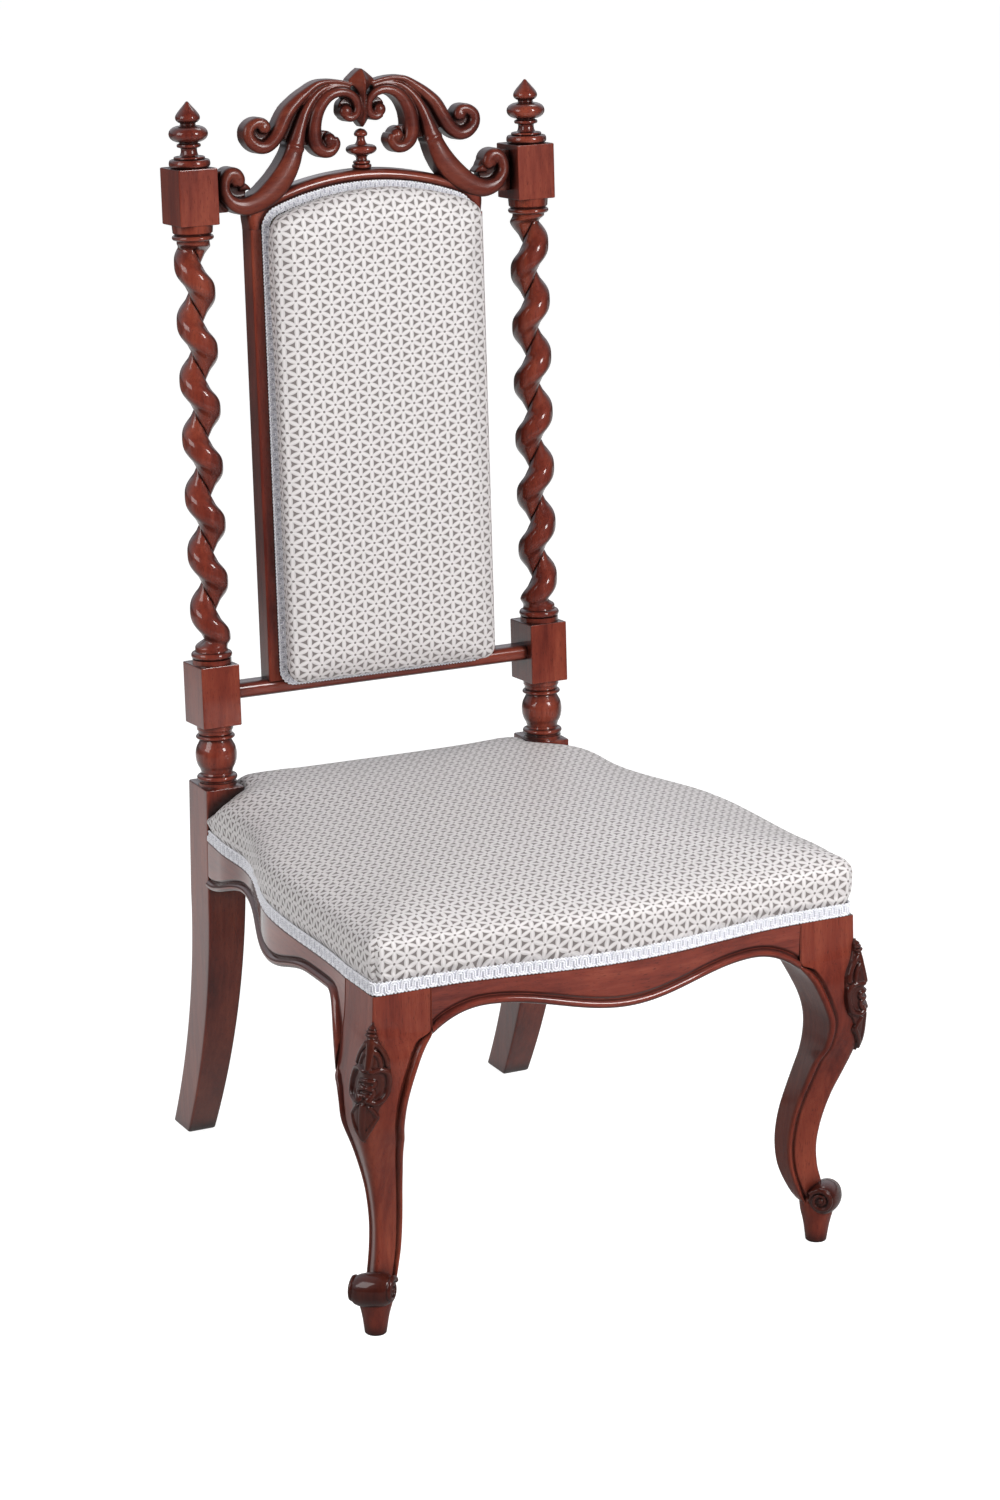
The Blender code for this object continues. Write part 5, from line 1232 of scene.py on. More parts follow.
def make_toe(shell, sign):
    """Scrolled toe with a spiral on each end."""
    angles = full_turn(40)
    half = TOE_WIDTH / 2
    rings = []
    for place, size in [(-place, size) for place, size in TOE_BARREL[:0:-1]] + list(TOE_BARREL):
        radius = TOE_RADIUS * size
        height = TOE_HEIGHT + TOE_TILT * place + radius * TOE_TALLNESS * np.sin(angles)
        reach = TOE_REACH + radius * np.cos(angles)
        rings.append(corner_points(reach, TOE_OFFSET + place * half, height, sign))
    shell.skin(rings)
    diagonal = np.array([sign, -1.0, 0.0]) / math.sqrt(2)
    across = np.array([-sign, -1.0, 0.0]) / math.sqrt(2)
    turn = np.linspace(math.radians(SPIRAL_START), math.radians(SPIRAL_START - SPIRAL_TURN), SPIRAL_POINTS)
    radius = np.linspace(TOE_RADIUS * SPIRAL_SIZE, EYE_RADIUS, SPIRAL_POINTS)
    thickness = np.linspace(SPIRAL_THICK, SPIRAL_THIN, SPIRAL_POINTS)
    for end in (-1, 1):
        height = TOE_HEIGHT + TOE_TILT * end
        path = corner_points(TOE_REACH + radius * np.cos(turn), TOE_OFFSET + end * half,
                             height + radius * np.sin(turn), sign)
        shell.tube(path, np.broadcast_to(across * end, path.shape), thickness)
        centre = corner_points(TOE_REACH, TOE_OFFSET + end * half, height, sign)
        shell.ball(centre, (EYE_RADIUS, EYE_RADIUS, SPIRAL_THICK), np.array([diagonal, (0, 0, 1), across]))


def make_peg(shell, sign):
    """Turned foot under the scrolled toe."""
    rings = []
    for height, radius in PEG:
        ring = (PEG_REACH, TOE_OFFSET) + radius * directions(full_turn(40))
        rings.append(corner_points(ring[:, 0], ring[:, 1], height, sign))
    shell.skin(rings)


def make_front_leg(side, sign):
    rings = np.array([leg_ring(*row) for row in LEG_ROWS])
    heights = LEG_ROWS[:, 0] * APRON_LOW
    heights[0] = RAIL_TOP
    leg, toe, knee = Shell(), Shell(), Shell()
    leg.skin([corner_points(ring[:, 0], ring[:, 1], height, sign) for ring, height in zip(rings, heights)])
    make_peg(leg, sign)
    dress(leg.build(f"leg_{side}", sharp=48), WOOD_LEG, "mahogany", f"front_leg_{side}")
    make_toe(toe, sign)
    dress(toe.build(f"toe_{side}", sharp=48), WOOD_DARK, "mahogany")
    make_knee(knee, rings, heights, sign)
    dress(knee.build(f"knee_{side}", sharp=80, flatten=False), WOOD_DARK, "mahogany")


# Seat rails

# Serpentine of the side rail: share of the way forward, swell
SIDE_SWELL = ((0.0, 0.0), (0.08, -0.0006), (0.24, -0.007), (0.57, 0.014), (1.0, 0.0))
# Lower edges of the aprons: share of the way to the leg, height
APRON_AT_POST = 0.298
FRONT_APRON = ((0.0, APRON_LOW), (0.70, APRON_HIGH), (1.0, APRON_HIGH))
SIDE_APRON = (
    (0.0, APRON_AT_POST), (0.25, APRON_HIGH), (0.56, APRON_LOW), (0.80, APRON_HIGH), (1.0, APRON_HIGH),
)
# Where each apron starts to fall towards the leg, and how low it ends
FRONT_FALL_START = 0.70
FRONT_APRON_END = 0.301
SIDE_FALL_START = 0.90
SIDE_APRON_END = 0.255
FALL_POWER = 2.2
# How far the side rail's lower edge flares out to meet the leg's knee, and where along and down that starts
SIDE_FLARE = 0.0097
FLARE_START = 0.90
FLARE_LENGTH = 0.10
FLARE_DROP = 0.012
FLARE_POWER = 1.5
# Rounding of a rail's upper edge, least plain face above the moulding, lap at the legs
RAIL_EASE = 0.001
RAIL_PLAIN = 0.004
RAIL_LAP = 0.0005
REAR_RAIL_BEVEL = 0.0015
BLOCK_BEVEL = 0.0012


def front_face(x):
    """Y of the serpentine front face at a distance from the centre plane."""
    return SEAT_FRONT_Y - FRONT_BOW * np.cos(np.minimum(np.abs(x) / LEG_INNER_X, 1.0) * np.pi / 2) ** 2


def side_face(share):
    """Outer face of the right side rail, as x and y, by the share of the way forward from the post."""
    share = np.asarray(share, float)
    x = POST_OUTER + (SEAT_CORNER_X - POST_OUTER) * share + through(SIDE_SWELL, share)
    return np.stack([x, POST_FRONT + (LEG_BACK_Y - POST_FRONT) * share], -1)


def apron(line, share, fall_start, end):
    """Lower edge of an apron, which falls ever more steeply to its end at the leg."""
    fall = np.clip((share - fall_start) / (1.0 - fall_start), 0.0, 1.0) ** FALL_POWER
    return through(line, share) - (APRON_HIGH - end) * fall


# Moulded lower edge: stand out from the face, height above the edge, in mm
APRON_EDGE = (
    (0.0, 13.0), (-0.4, 11.6), (-1.3, 10.4), (-1.9, 9.4), (-1.6, 8.5), (-0.2, 7.9), (1.4, 7.2), (2.6, 6.0),
    (3.1, 4.4), (2.8, 2.8), (1.8, 1.3), (0.2, 0.4), (-2.0, 0.0),
)


def rail_rows(outer, inner, low, out, flare):
    """Rings of a rail with a moulded lower edge, from rows of outer points, inner points and edge heights."""
    count = len(outer)
    flare_top = RAIL_TOP - FLARE_DROP
    eased_top = RAIL_TOP - RAIL_EASE
    moulding = APRON_EDGE[0][1]

    def flared(stand, height):
        depth = np.clip((flare_top - height) / (flare_top - low), 0.0, 1.0) ** FLARE_POWER
        return outer + out * (stand + flare * depth)[:, None]

    section = [(inner, RAIL_TOP), (outer - out * RAIL_EASE, RAIL_TOP), (outer, eased_top)]
    run = np.linalg.norm(np.gradient(outer, axis=0), axis=1)
    stretch = np.sqrt(1 + (np.gradient(low) / run) ** 2)
    reach = np.minimum(stretch, (RAIL_TOP - RAIL_PLAIN - low) / (moulding / 1000))
    bead_top = low + moulding * reach / 1000
    for share in (0.25, 0.5, 0.75):
        height = eased_top + (bead_top - eased_top) * share
        section.append((flared(np.zeros(count), height), height))
    for stand, lift in APRON_EDGE:
        height = low + lift * reach / 1000
        section.append((flared(np.full(count, stand / 1000), height), height))
    section.append((inner, low))
    return np.stack([placed(at_height(flat, height)) for flat, height in section], 1)


def make_rails():
    x = np.linspace(-LEG_INNER_X - RAIL_LAP, LEG_INNER_X + RAIL_LAP, 141)
    outer = np.column_stack([x, front_face(x)])
    inner = np.column_stack([x, np.full(len(x), FRONT_INNER_Y)])
    low = apron(FRONT_APRON, np.minimum(np.abs(x) / LEG_INNER_X, 1.0), FRONT_FALL_START, FRONT_APRON_END)
    rail = skinned(rail_rows(outer, inner, low, np.array([0.0, -1.0]), np.zeros(len(x))))
    dress(rail.build("rail_front", sharp=40), WOOD_ACROSS, "mahogany", "front_rail")
    share = np.concatenate([np.linspace(0.0, 0.88, 100), np.linspace(0.884, 1.0, 40)])
    low = apron(SIDE_APRON, share, SIDE_FALL_START, SIDE_APRON_END)
    flare = SIDE_FLARE * eased((share - FLARE_START) / FLARE_LENGTH)
    for side, sign in SIDES.items():
        outer = side_face(share) * (sign, 1)
        inner = outer.copy()
        inner[:, 0] = sign * (POST_OUTER + (SEAT_CORNER_X - POST_OUTER) * share - RAIL_THICKNESS)
        rail = skinned(rail_rows(outer, inner, low, np.array([sign, 0.0]), flare))
        dress(rail.build(f"rail_{side}", sharp=40), WOOD_DEPTH, "mahogany", f"side_rail_{side}")
    bevelled(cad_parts["rear_rail"], REAR_RAIL_BEVEL, 3)


# Seat upholstery

SEAT_EDGE_SPACING = 0.003
SEAT_OUTLINE_SPACING = 0.0035


def seat_edge():
    """Outer line of the seat from the right post round the front to the left post, as x and y."""
    half = [side_face(np.linspace(0.0, 1.0, 90))]
    angles = np.linspace(0.0, math.pi / 2, 8)
    centre = np.array([SEAT_CORNER_X - SEAT_CORNER_ROUND, SEAT_FRONT_Y + SEAT_CORNER_ROUND])
    half.append(centre + SEAT_CORNER_ROUND * directions(-angles))
    x = np.linspace(LEG_INNER_X, 0.0, 60)
    half.append(np.column_stack([x, front_face(x)]))
    half = np.vstack(half)
    half[0, 1] -= CLEARANCE
    return resampled(np.vstack([half, half[-2::-1] * (-1, 1)]), SEAT_EDGE_SPACING)


def seat_outline():
    """Closed plan of the stuffed seat, notched round the posts."""
    step = HALF_SPAN - CLEARANCE
    notch = np.array([(step, POST_FRONT - CLEARANCE), (step, REAR_RAIL_BACK)])
    back = np.vstack([notch * (-1, 1), notch[::-1]])
    return resampled(np.vstack([seat_edge(), back]), SEAT_OUTLINE_SPACING, closed=True)


# Seat pad side: height above the hessian, distance inside the rail's face
SEAT_PAD_SIDE = (
    (0.0000, 0.0040), (0.0070, 0.0026), (0.0110, -0.0006), (0.0200, -0.0034), (0.0300, -0.0044),
    (0.0385, -0.0042), (0.0435, -0.0028), (0.0470, 0.0004), (0.0495, 0.0050), (0.0517, 0.0115),
    (0.0542, 0.0225), (0.0575, 0.0440),
)
SEAT_CROWN = 0.0690
SEAT_CENTRE = np.array([0.0, -0.051])
SEAT_CROWN_SHARES = (0.86, 0.72, 0.58, 0.44, 0.30, 0.16, 0.06)
# Heights above the hessian: top of the held band, and the band over which the evening of the top sets in
SEAT_HELD = 0.0105
SEAT_EVEN_LOW = 0.0512
SEAT_EVEN_BAND = 0.0035
# Height in the CAD frame at which the seat's cloth turns down
SEAT_FOLD = 0.4040

PAD_VOXEL = 0.0042
PAD_SOFTENING = 2
EVEN_ROUNDS = 80
SIM_FRAMES = 20
SIM_CAP = 0.002
CLOTH = {
    "vertex_group_mass": "held", "mass": 0.3, "tension_stiffness": 25, "compression_stiffness": 25,
    "bending_stiffness": 2.0, "use_pressure": True, "uniform_pressure_force": 4.0,
}

# Small pulls above the braid: height and spread of their band, then depth, pitch and start of each wave
PULL_HEIGHT = 0.012
PULL_SPREAD = 0.007
PULLS = ((0.0005, 0.021, 0.0), (0.0004, 0.0133, 1.0))
# Slow waves of the whole top: depth, then rate and start along x and along y
SURFACE_WAVE = 0.0005
WAVE_X = (19.0, 0.6)
WAVE_Y = (15.0, 1.1)
# Tuck at each front corner: place, depth, radius, upper end and length
TUCK_PLACE = (0.2545, -0.2930)
TUCK_DEPTH = 0.0028
TUCK_RADIUS = 0.0032
TUCK_TOP = 0.409
TUCK_LENGTH = 0.02
# Dip at the posts: share of the height that is lost, its radius, and how far it goes round the post
DIP_SHARE = 0.80
DIP_RADIUS = 0.030
DIP_ROUND_POST = 0.004


def evened(mesh, weight, rounds):
    """Even out a mesh where the weight says so, each point drawn halfway to the mean of its neighbours."""
    points = positions(mesh)
    edges = gathered(mesh.edges, "vertices", 2, int)
    first, second = edges.T
    count = np.bincount(edges.ravel(), minlength=len(points))[:, None]
    for _ in range(rounds):
        total = np.zeros_like(points)
        np.add.at(total, first, points[second])
        np.add.at(total, second, points[first])
        points = points + weight[:, None] * 0.5 * (total / count - points)
    set_positions(mesh, points)


def crowned(rings, centre, shares, rise):
    """Add rings that shrink towards a centre and rise to the crown."""
    last = rings[-1]
    for share in shares:
        rings.append(centre + (last - centre) * share + np.array(rise) * (1 - share ** 2))


def stuffed(name, rings, peak, held, soft=None):
    """Closed soft form skinned from rings up to a peak, remeshed evenly and blown up a little as cloth."""
    flat_end = np.broadcast_to(peak, rings[-1].shape) + (rings[-1] - peak) * 0.004
    piece = skinned(np.concatenate([rings, flat_end[None]])).build(name, flatten=False)
    remeshed(piece, PAD_VOXEL, PAD_SOFTENING)
    blow_up(piece, held)
    if soft:
        evened(piece.data, soft(positions(piece.data)), EVEN_ROUNDS)
    subdivided = piece.modifiers.new("fine", "SUBSURF")
    subdivided.levels = 1
    subdivided.render_levels = 1
    applied(piece)
    piece.data.shade_smooth()
    return piece


def blow_up(piece, held):
    """Inflate a piece as cloth that is held where the mask says so, and cap how far it moves."""
    rest = positions(piece.data)
    group = piece.vertex_groups.new(name="held")
    group.add(np.flatnonzero(held(rest)).tolist(), 1.0, "REPLACE")
    cloth = piece.modifiers.new("cloth", "CLOTH")
    for key, value in CLOTH.items():
        setattr(cloth.settings, key, value)
    cloth.settings.effector_weights.gravity = 0.0
    cloth.collision_settings.use_collision = False
    cloth.collision_settings.use_self_collision = False
    cloth.point_cache.frame_start = 1
    cloth.point_cache.frame_end = SIM_FRAMES
    scene = bpy.context.scene
    for number in range(1, SIM_FRAMES + 1):
        scene.frame_set(number)
    graph = bpy.context.evaluated_depsgraph_get()
    moved = positions(piece.evaluated_get(graph).data) - rest
    reach = np.linalg.norm(moved, axis=1, keepdims=True)
    piece.modifiers.clear()
    piece.vertex_groups.clear()
    set_positions(piece.data, rest + moved * np.minimum(1.0, SIM_CAP / np.maximum(reach, 1e-9)))
    scene.frame_set(1)


def lay_weave(piece, mapping):
    """Lay the cloth's pattern over a piece, face by face, from a mapping of points and face normals."""
    mesh = piece.data
    layer = mesh.uv_layers.new(name=WEAVE)
    corners = gathered(mesh.loops, "vertex_index", 1, int)[:, 0]
    totals = gathered(mesh.polygons, "loop_total", 1, int)[:, 0]
    face_normals = np.repeat(gathered(mesh.polygons, "normal", 3), totals, axis=0)
    flat = mapping(positions(mesh)[corners], face_normals)
    layer.data.foreach_set("uv", (flat / (CELL_ACROSS, CELL_ALONG)).astype(np.float32).ravel())


def folded(u, v, middle, drop, sideways):
    """Flat places on cloth that drops over its side edges or over its ends."""
    u = u + np.where(sideways, np.sign(u) * drop, 0.0)
    v = v + np.where(sideways, 0.0, np.sign(v - middle) * drop)
    return np.stack([u, v], -1)


def seat_weave(points, normals):
    """The seat's cloth runs flat over the top and straight down each side."""
    drop = np.maximum(SEAT_FOLD - points[:, 2], 0.0)
    return folded(points[:, 0], points[:, 1], 0.0, drop, np.abs(normals[:, 0]) > np.abs(normals[:, 1]))


def make_seat_pad():
    outline = seat_outline()
    inward = outline_normals(outline, True)
    if (inward * (outline - outline.mean(0))).sum() > 0:
        inward = -inward
    rings = [at_height(outline + inward * distance, PAD_LOW + height) for height, distance in SEAT_PAD_SIDE]
    centre = np.array([*SEAT_CENTRE, rings[-1][0, 2]])
    rise = (0.0, 0.0, SEAT_CROWN - SEAT_PAD_SIDE[-1][0])
    crowned(rings, centre, SEAT_CROWN_SHARES, rise)

    def held(points):
        return points[:, 2] < PAD_LOW + SEAT_HELD

    def soft(points):
        return eased((points[:, 2] - (PAD_LOW + SEAT_EVEN_LOW)) / SEAT_EVEN_BAND)

    pad = stuffed("seat_cushion", placed(rings), placed(centre + rise), held, soft)
    pull_seat(pad)
    lay_weave(pad, seat_weave)
    dress(pad, FABRIC, "cover_fabric", "seat_pad")


def pull_seat(pad):
    """Small pulls above the braid, a tuck at each front corner and a dip at the posts."""
    points = positions(pad.data)
    normals = gathered(pad.data.vertex_normals, "vector", 3)
    x, y, z = points[:, 0], points[:, 1] - SHIFT_Y, points[:, 2]
    around = np.where(np.abs(normals[:, 0]) > np.abs(normals[:, 1]), y, x)
    near = np.exp(-((z - PAD_LOW - PULL_HEIGHT) / PULL_SPREAD) ** 2)
    pulls = near * sum(depth * np.sin(around * 2 * np.pi / pitch + start) for depth, pitch, start in PULLS)
    wide = SURFACE_WAVE * np.sin(x * WAVE_X[0] + WAVE_X[1]) * np.sin(y * WAVE_Y[0] + WAVE_Y[1])
    corner = np.hypot(np.abs(x) - TUCK_PLACE[0], y - TUCK_PLACE[1])
    tuck = TUCK_DEPTH * np.exp(-(corner / TUCK_RADIUS) ** 2) * np.clip((TUCK_TOP - z) / TUCK_LENGTH, 0.0, 1.0)
    beside_post = np.maximum(POST_OUTER + DIP_ROUND_POST - np.abs(x), 0.0)
    post = np.hypot(beside_post, np.maximum(POST_FRONT - y, 0.0))
    dip = DIP_SHARE * np.exp(-(post / DIP_RADIUS) ** 2) * np.maximum(z - PAD_LOW - PULL_HEIGHT, 0.0)
    points = points + normals * (pulls + wide - tuck)[:, None]
    points[:, 2] -= dip
    set_positions(pad.data, points)


# Back upholstery: stand forward of the panel's face, distance inside the gimp
BACK_PAD_EDGE = (
    (0.0010, 0.0004), (0.0040, -0.0008), (0.0100, -0.0048), (0.0170, -0.0077), (0.0235, -0.0088),
    (0.0285, -0.0072), (0.0325, -0.0018), (0.0348, 0.0080), (0.0360, 0.0205),
)
# How far the pad's top edge keeps below the arch, over the last of its height
BACK_PAD_TOP_DROP = 0.0035
TOP_DROP_LENGTH = 0.12
TOP_DROP_BAND = 0.08
BACK_PAD_RAISE = 0.0045
BACK_PAD_POINTS = 300
BACK_CROWN = 0.0385
BACK_CROWN_SHARES = (0.8, 0.6, 0.4, 0.2, 0.07)
BACK_HELD = 0.0045
# Stand forward at which the back's cloth turns over, and the height that parts its upper from its lower edge
BACK_FOLD = 0.0400
BACK_MIDDLE = 0.35


def back_weave(points, normals):
    """The back's cloth runs flat over the front and straight over each edge."""
    x, forward, along = back_frame(points)
    sideways, _, upward = back_frame(normals, direction=True)
    drop = np.maximum(BACK_FOLD - forward, 0.0)
    return folded(x, along, BACK_MIDDLE, drop, np.abs(sideways) >= np.abs(upward))


def back_frame(points, direction=False):
    """Points or directions of the CAD frame as x, forward and height along the post."""
    x, y, z = points[:, 0], points[:, 1], points[:, 2]
    if not direction:
        y, z = y - SHIFT_Y - POST_Y, z - LOW_BLOCK_TOP
    return x, -y * LEAN_COS + z * LEAN_SIN, y * LEAN_SIN + z * LEAN_COS


def make_back_pad():
    bottom = LOWER_RAIL_LOW + BACK_PAD_BOTTOM
    inner_edge = BACK_GIMP_INSET + BACK_GIMP_WIDTH
    raise_start = BACK_PAD_EDGE[1][0]
    rings = []
    for forward, distance in BACK_PAD_EDGE:
        edge = inner_edge + distance
        lift = BACK_PAD_RAISE if forward > raise_start else 0.0
        outline = panel_outline(edge, bottom + edge - BACK_GIMP_INSET + lift)
        ring = even_ring(lifted(outline, PANEL_FRONT + forward), BACK_PAD_POINTS)
        if forward > raise_start:
            into_top = ring[:, 2] - ARCH_TOP + TOP_DROP_LENGTH
            ring[:, 2] -= BACK_PAD_TOP_DROP * eased(into_top / TOP_DROP_BAND)
        rings.append(ring)
    centre = np.array([0.0, rings[-1][0, 1], (bottom + ARCH_TOP) / 2])
    rise = (0.0, BACK_CROWN - BACK_PAD_EDGE[-1][0], 0.0)
    crowned(rings, centre, BACK_CROWN_SHARES, rise)

    def held(points):
        return back_frame(points)[1] < PANEL_FRONT + BACK_HELD

    pad = stuffed("back_cushion", on_back(rings), on_back(centre + rise), held)
    lay_weave(pad, back_weave)
    dress(pad, FABRIC, "cover_fabric", "back_pad")


# Braid: length of one loop and radius of its cord
SEAT_LOOP = 0.0112
SEAT_CORD = 0.00085
BACK_LOOP = 0.0102
BACK_CORD = 0.00070
CORD_SIDES = 6
# By the cord's radius: margin of the loops, then spread, lift and weave of the paired cords
LOOP_MARGIN = 5
CORD_SPREAD = 1.25
CORD_LIFT = 1.1
CORD_WEAVE = 0.3
# By the cord's radius: swing, inset, lift and size of the scalloped edge cord, and lift of the ground
EDGE_SWING = 2.1
EDGE_INSET = 1.2
EDGE_LIFT = 0.5
EDGE_SIZE = 0.75
GROUND_LIFT = 0.4
# Lean of the loops, by their length
LOOP_LEAN = 0.085
# How far the braid's ground reaches into what it lies on
BRAID_SINK = 0.0012
REAR_BRAID_POINTS = 90
REAR_BRAID_GAP = 0.001
REAR_BRAID_STAND = 0.0002
BACK_BRAID_STAND = 0.0013
BACK_BRAID_SPACING = 0.0025
OUTSIDE_BRAID_INSET = 0.0085
OUTSIDE_BRAID_STAND = 0.0010


def meander(length, period, height, steps, square=1.1, lean=0.0):
    """Looping line of a braid as distances along and across it, with its own side offsets."""
    turns = max(1, round(length / period))
    t = np.linspace(0.0, turns, turns * steps + 1)
    wave = np.sin(2 * np.pi * t)
    along = t / turns * length + lean * np.sin(4 * np.pi * t)
    across = height / 2 * np.tanh(square * wave) / math.tanh(square)
    flat = np.column_stack([along, across])
    return flat, outline_normals(flat, False)


def braid(name, path, normals, ups, period, height, cord, node_name=None):
    """Gimp along a line on a surface: looped cords over a flat ground, with a scalloped edge."""
    along = path_lengths(path)
    length = along[-1]
    cords, ground = Shell(), Shell()

    def lay(places, across, lift, radius):
        places = np.clip(places, 0.0, length)
        normal = unit(interpolated(places, along, normals))
        up = unit(interpolated(places, along, ups))
        line = interpolated(places, along, path) + up * across[:, None] + normal * lift
        cords.tube(line, normal, radius, CORD_SIDES)

    flat, offsets = meander(length, period, height - LOOP_MARGIN * cord, 28, lean=-period * LOOP_LEAN)
    weave = CORD_WEAVE * cord * np.sin(flat[:, 0] * 4 * np.pi / period)
    for shift in (-CORD_SPREAD * cord, CORD_SPREAD * cord):
        line = flat + offsets * shift
        lay(line[:, 0], line[:, 1], (cord * CORD_LIFT + weave)[:, None], cord)
    small, _ = meander(length, period / 3, cord * EDGE_SWING, 10, square=1.2)
    for edge in (-1, 1):
        across = edge * (height / 2 - cord * EDGE_INSET) + small[:, 1]
        lay(small[:, 0], across, cord * EDGE_LIFT, cord * EDGE_SIZE)
    half = height / 2 - cord
    face, sunk = path + normals * cord * GROUND_LIFT, path - normals * BRAID_SINK
    ground.skin(np.stack([sunk - ups * half, face - ups * half, face + ups * half, sunk + ups * half], 1))
    nodes = [node_name] if node_name else []
    dress(cords.build(name, flatten=False), BRAID, "gimp_braid", *nodes)
    dress(ground.build(f"{name}_ground", flatten=False), BRAID_GROUND, "gimp_braid")


def back_direction(vectors):
    """Directions given as x, forward and height along the post, in the CAD frame."""
    return on_back(vectors) - on_back(np.zeros(3))


def make_braids():
    edge = seat_edge()
    outward = outline_normals(edge, False)
    if (outward * edge).sum() < 0:
        outward = -outward
    x = np.linspace(HALF_SPAN - REAR_BRAID_GAP, -HALF_SPAN + REAR_BRAID_GAP, REAR_BRAID_POINTS)
    rear = np.column_stack([x, np.full(len(x), REAR_RAIL_BACK + REAR_BRAID_STAND)])
    rearward = np.broadcast_to((0.0, 1.0), rear.shape)
    for name, line, facing, node_name in (
        ("seat_braid", edge - outward * BRAID_SINK, outward, "seat_gimp"),
        ("seat_braid_rear", rear, rearward, None),
    ):
        path = placed(at_height(line, SEAT_GIMP_LOW + SEAT_GIMP_HEIGHT / 2))
        ups = np.broadcast_to((0.0, 0.0, 1.0), path.shape)
        braid(name, path, at_height(facing, 0.0), ups, SEAT_LOOP, SEAT_GIMP_HEIGHT, SEAT_CORD, node_name)

    bottom = LOWER_RAIL_LOW + BACK_PAD_BOTTOM
    for name, inset, forward, way, node_name in (
        ("back_braid", BACK_GIMP_INSET, PANEL_FRONT + BACK_BRAID_STAND, 1.0, "back_gimp"),
        ("outside_back_braid", OUTSIDE_BRAID_INSET, PANEL_BACK - OUTSIDE_BRAID_STAND, -1.0, None),
    ):
        outline = panel_outline(inset + BACK_GIMP_WIDTH / 2, bottom + BACK_GIMP_WIDTH / 2)
        outline = resampled(np.vstack([outline, outline[:1]]), BACK_BRAID_SPACING)
        sides = outline_normals(outline, False)
        sides[0] = sides[-1] = (sides[0] + sides[-1]) / 2
        path = on_back(lifted(outline, forward))
        normals = np.broadcast_to(back_direction(np.array([0.0, way, 0.0])), path.shape)
        braid(name, path, normals, back_direction(lifted(sides, 0.0)), BACK_LOOP, BACK_GIMP_WIDTH, BACK_CORD,
              node_name)


# Outside back cloth: distance inside the panel, height over the lower rail, lift, belly and thickness
COVER_INSET = 0.0095
COVER_FOOT = 0.005
COVER_LIFT = 0.0006
COVER_BELLY = 0.0030
COVER_THICKNESS = 0.0008


def make_outside_back():
    """Cloth stretched over the outside of the back and tacked to the frame."""
    outline = resampled(panel_outline(COVER_INSET, LOWER_RAIL_LOW + COVER_FOOT), 0.006, closed=True)
    centre = np.array([0.0, (LOWER_RAIL_LOW + ARCH_TOP) / 2])
    rows = []
    for share in (1.0, *np.linspace(0.96, 0.02, 20)):
        flat = centre + (outline - centre) * share
        rows.append(lifted(flat, PANEL_BACK - COVER_LIFT - COVER_BELLY * (1 - share ** 3)))
    back = on_back(rows)
    front = back + back_direction(np.array([0.0, COVER_THICKNESS, 0.0]))
    piece = skinned(np.concatenate([front[::-1], back])).build("outside_back_cloth", flatten=False)
    lay_weave(piece, lambda points, normals: np.stack(back_frame(points)[::2], -1))
    dress(piece, FABRIC, "cover_fabric", "outside_back_cover")


def dress_hidden_parts():
    """Materials for the CAD parts that stay: rear rail, blocks, screws, dowels, webbing and hessian."""
    finishes = {
        "corner_block": BEECH, "dowel": BEECH, "screw": STEEL, "webbing": WEBBING, "seat_hessian": HESSIAN,
        "back_hessian": HESSIAN, "rear_rail": WOOD_ACROSS,
    }
    for name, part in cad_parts.items():
        for start, material in finishes.items():
            if name.startswith(start):
                part.data.materials.clear()
                part.data.materials.append(material)
        if name.startswith("corner_block"):
            bevelled(part, BLOCK_BEVEL, 2)


# Stage

AMBIENT = 0.21
FLOOR_SIZE = 60
FLOOR_SHADE = 0.42
# Ambient light from below and from above, by the ambient strength
AMBIENT_BELOW = 1.15
AMBIENT_ABOVE = 0.65
# White paper that reflections see on the floor: where it fades in and out along Y, and its brightness
PAPER_IN = (-0.5, 1.0)
PAPER_OUT = (1.6, 2.5)
PAPER_LAST = 0.08
PAPER_SHADE = 0.90
# Backdrop that reflections see: brightness on the camera's side and at its foot, and where each passes over
BACKDROP_TURN = (-0.35, 0.60)
BACKDROP_FOOT = (0.02, 0.25)
FOOT_SHADE = 0.15
STUDIO_FRONT = 0.06
STUDIO_TINT = (0.94, 0.93, 1.0, 1.0)
WHITE = (1.0, 1.0, 1.0, 1.0)
# Lamps: azimuth and elevation in degrees, distance, width and height in metres, power in watts
LAMPS = {
    "left": (-84, 26, 2.6, 1.40, 1.50, 38.0),
    "main": (27, 28, 2.6, 0.60, 1.10, 51.0),
    "low": (4, 5, 2.3, 1.40, 0.80, 21.0),
    "top": (121, 60, 2.4, 0.60, 0.60, 8.0),
}
# Lamp that no polish mirrors, since it would veil the wood
UNMIRRORED = "low"
LAMP_TARGET = Vector((0.0, 0.0, 0.55))
# Camera: place in metres, turn, downward pitch and roll in degrees, lens and sensor in mm
CAMERA_PLACE = (-1.8159, -3.5356, 1.6704)
CAMERA_TURN = -27.49
CAMERA_PITCH = 16.8
CAMERA_ROLL = 0.26
CAMERA_LENS = 100.38
CAMERA_SENSOR = 36.0


def ray_kinds(tree):
    """Whether the camera looks, and whether a reflection or a refraction looks."""
    path = node(tree, "ShaderNodeLightPath")
    mirrored = calc(tree, "MAXIMUM", path.outputs["Is Glossy Ray"], path.outputs["Is Transmission Ray"])
    return path.outputs["Is Camera Ray"], mirrored


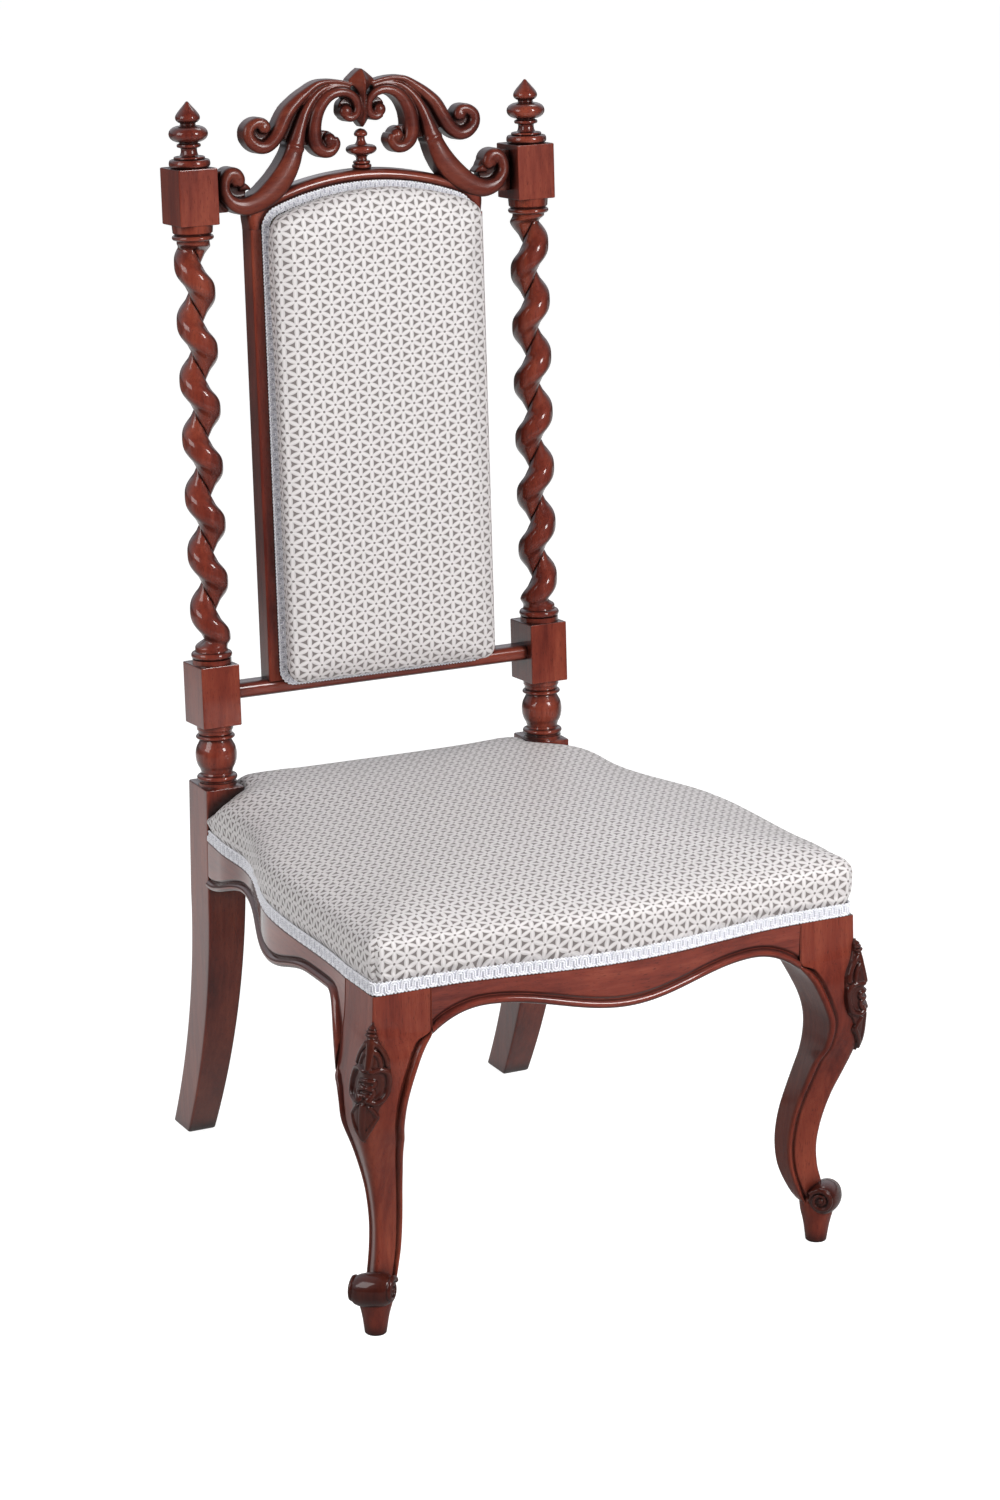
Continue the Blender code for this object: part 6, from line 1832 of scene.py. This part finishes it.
def make_floor():
    """Pale floor that looks white and keeps the shadow."""
    bpy.ops.mesh.primitive_plane_add(size=FLOOR_SIZE, location=(0, 0, 0))
    floor = bpy.context.object
    floor.name = "floor"
    material = bpy.data.materials.new("floor")
    material.use_nodes = True
    tree = material.node_tree
    tree.nodes.clear()
    out = node(tree, "ShaderNodeOutputMaterial")
    matt = node(tree, "ShaderNodeBsdfDiffuse", {"Color": (FLOOR_SHADE, FLOOR_SHADE, FLOOR_SHADE, 1.0)})
    rearward = split(tree, object_coords(tree))["Y"]
    camera_ray, mirrored = ray_kinds(tree)
    far_end = ranged(tree, rearward, *PAPER_OUT, 1.0, PAPER_LAST)
    paper = calc(tree, "MULTIPLY", ranged(tree, rearward, *PAPER_IN), far_end)
    seen = calc(tree, "MULTIPLY_ADD", mirrored, calc(tree, "MULTIPLY", paper, PAPER_SHADE), camera_ray)
    glow_strength = calc(tree, "MULTIPLY", seen, 1 - FLOOR_SHADE * AMBIENT * 0.75)
    glow = node(tree, "ShaderNodeEmission", {"Color": WHITE, "Strength": glow_strength})
    both = node(tree, "ShaderNodeAddShader", {0: matt.outputs[0], 1: glow.outputs[0]})
    tree.links.new(both.outputs[0], out.inputs["Surface"])
    floor.data.materials.append(material)


def make_world():
    """White background, which reflections see behind the chair and see dimmer on the camera's side."""
    world = bpy.data.worlds.new("studio")
    world.use_nodes = True
    tree = world.node_tree
    tree.nodes.clear()
    out = node(tree, "ShaderNodeOutputWorld")
    parts = split(tree, node(tree, "ShaderNodeTexCoord").outputs["Generated"])
    backdrop = ranged(tree, parts["Y"], *BACKDROP_TURN, STUDIO_FRONT, 1.0)
    backdrop = calc(tree, "MULTIPLY", backdrop, ranged(tree, parts["Z"], *BACKDROP_FOOT, FOOT_SHADE, 1.0))
    camera_ray, mirrored = ray_kinds(tree)
    ambient = ranged(tree, parts["Z"], -0.1, 1.0, AMBIENT * AMBIENT_BELOW, AMBIENT * AMBIENT_ABOVE)
    strength = calc(tree, "MULTIPLY_ADD", camera_ray, calc(tree, "SUBTRACT", 1.0, ambient), ambient)
    strength = calc(tree, "MULTIPLY_ADD", mirrored, calc(tree, "SUBTRACT", backdrop, ambient), strength)
    tint = mixed(tree, mirrored, WHITE, STUDIO_TINT)
    sky = node(tree, "ShaderNodeBackground", {"Color": tint, "Strength": strength})
    tree.links.new(sky.outputs[0], out.inputs["Surface"])
    bpy.context.scene.world = world


def make_lamps():
    for name, (azimuth, elevation, distance, width, height, power) in LAMPS.items():
        a, e = math.radians(azimuth), math.radians(elevation)
        back = Vector((math.sin(a) * math.cos(e), -math.cos(a) * math.cos(e), math.sin(e)))
        lamp = bpy.data.lights.new(name, "AREA")
        lamp.energy = power
        lamp.shape = "RECTANGLE"
        lamp.size = width
        lamp.size_y = height
        holder = bpy.data.objects.new(name, lamp)
        holder.location = LAMP_TARGET + back * distance
        holder.rotation_mode = "QUATERNION"
        holder.rotation_quaternion = (-back).to_track_quat("-Z", "Y")
        holder.visible_glossy = name != UNMIRRORED
        bpy.context.scene.collection.objects.link(holder)


def make_camera():
    camera = bpy.data.cameras.new("camera")
    camera.lens = CAMERA_LENS
    camera.sensor_width = CAMERA_SENSOR
    holder = bpy.data.objects.new("camera", camera)
    holder.matrix_world = (
        Matrix.Translation(CAMERA_PLACE) @ Matrix.Rotation(math.radians(CAMERA_TURN), 4, "Z")
        @ Matrix.Rotation(math.radians(90 - CAMERA_PITCH), 4, "X")
        @ Matrix.Rotation(math.radians(CAMERA_ROLL), 4, "Z")
    )
    bpy.context.scene.collection.objects.link(holder)
    bpy.context.scene.camera = holder
    bpy.context.scene.view_settings.view_transform = "Standard"


for side, sign in SIDES.items():
    make_post(side, sign)
    turned(f"post_finial_{side}", FINIAL, sign * POST_X, TOP_BLOCK_TOP, f"finial_{side}")
    make_front_leg(side, sign)
turned("arch_finial", CREST_FINIAL, 0.0, ARCH_TOP, "crest_finial")
make_panel_frame()
make_crest()
make_rails()
make_seat_pad()
make_back_pad()
make_braids()
make_outside_back()
dress_hidden_parts()
make_floor()
make_world()
make_lamps()
make_camera()
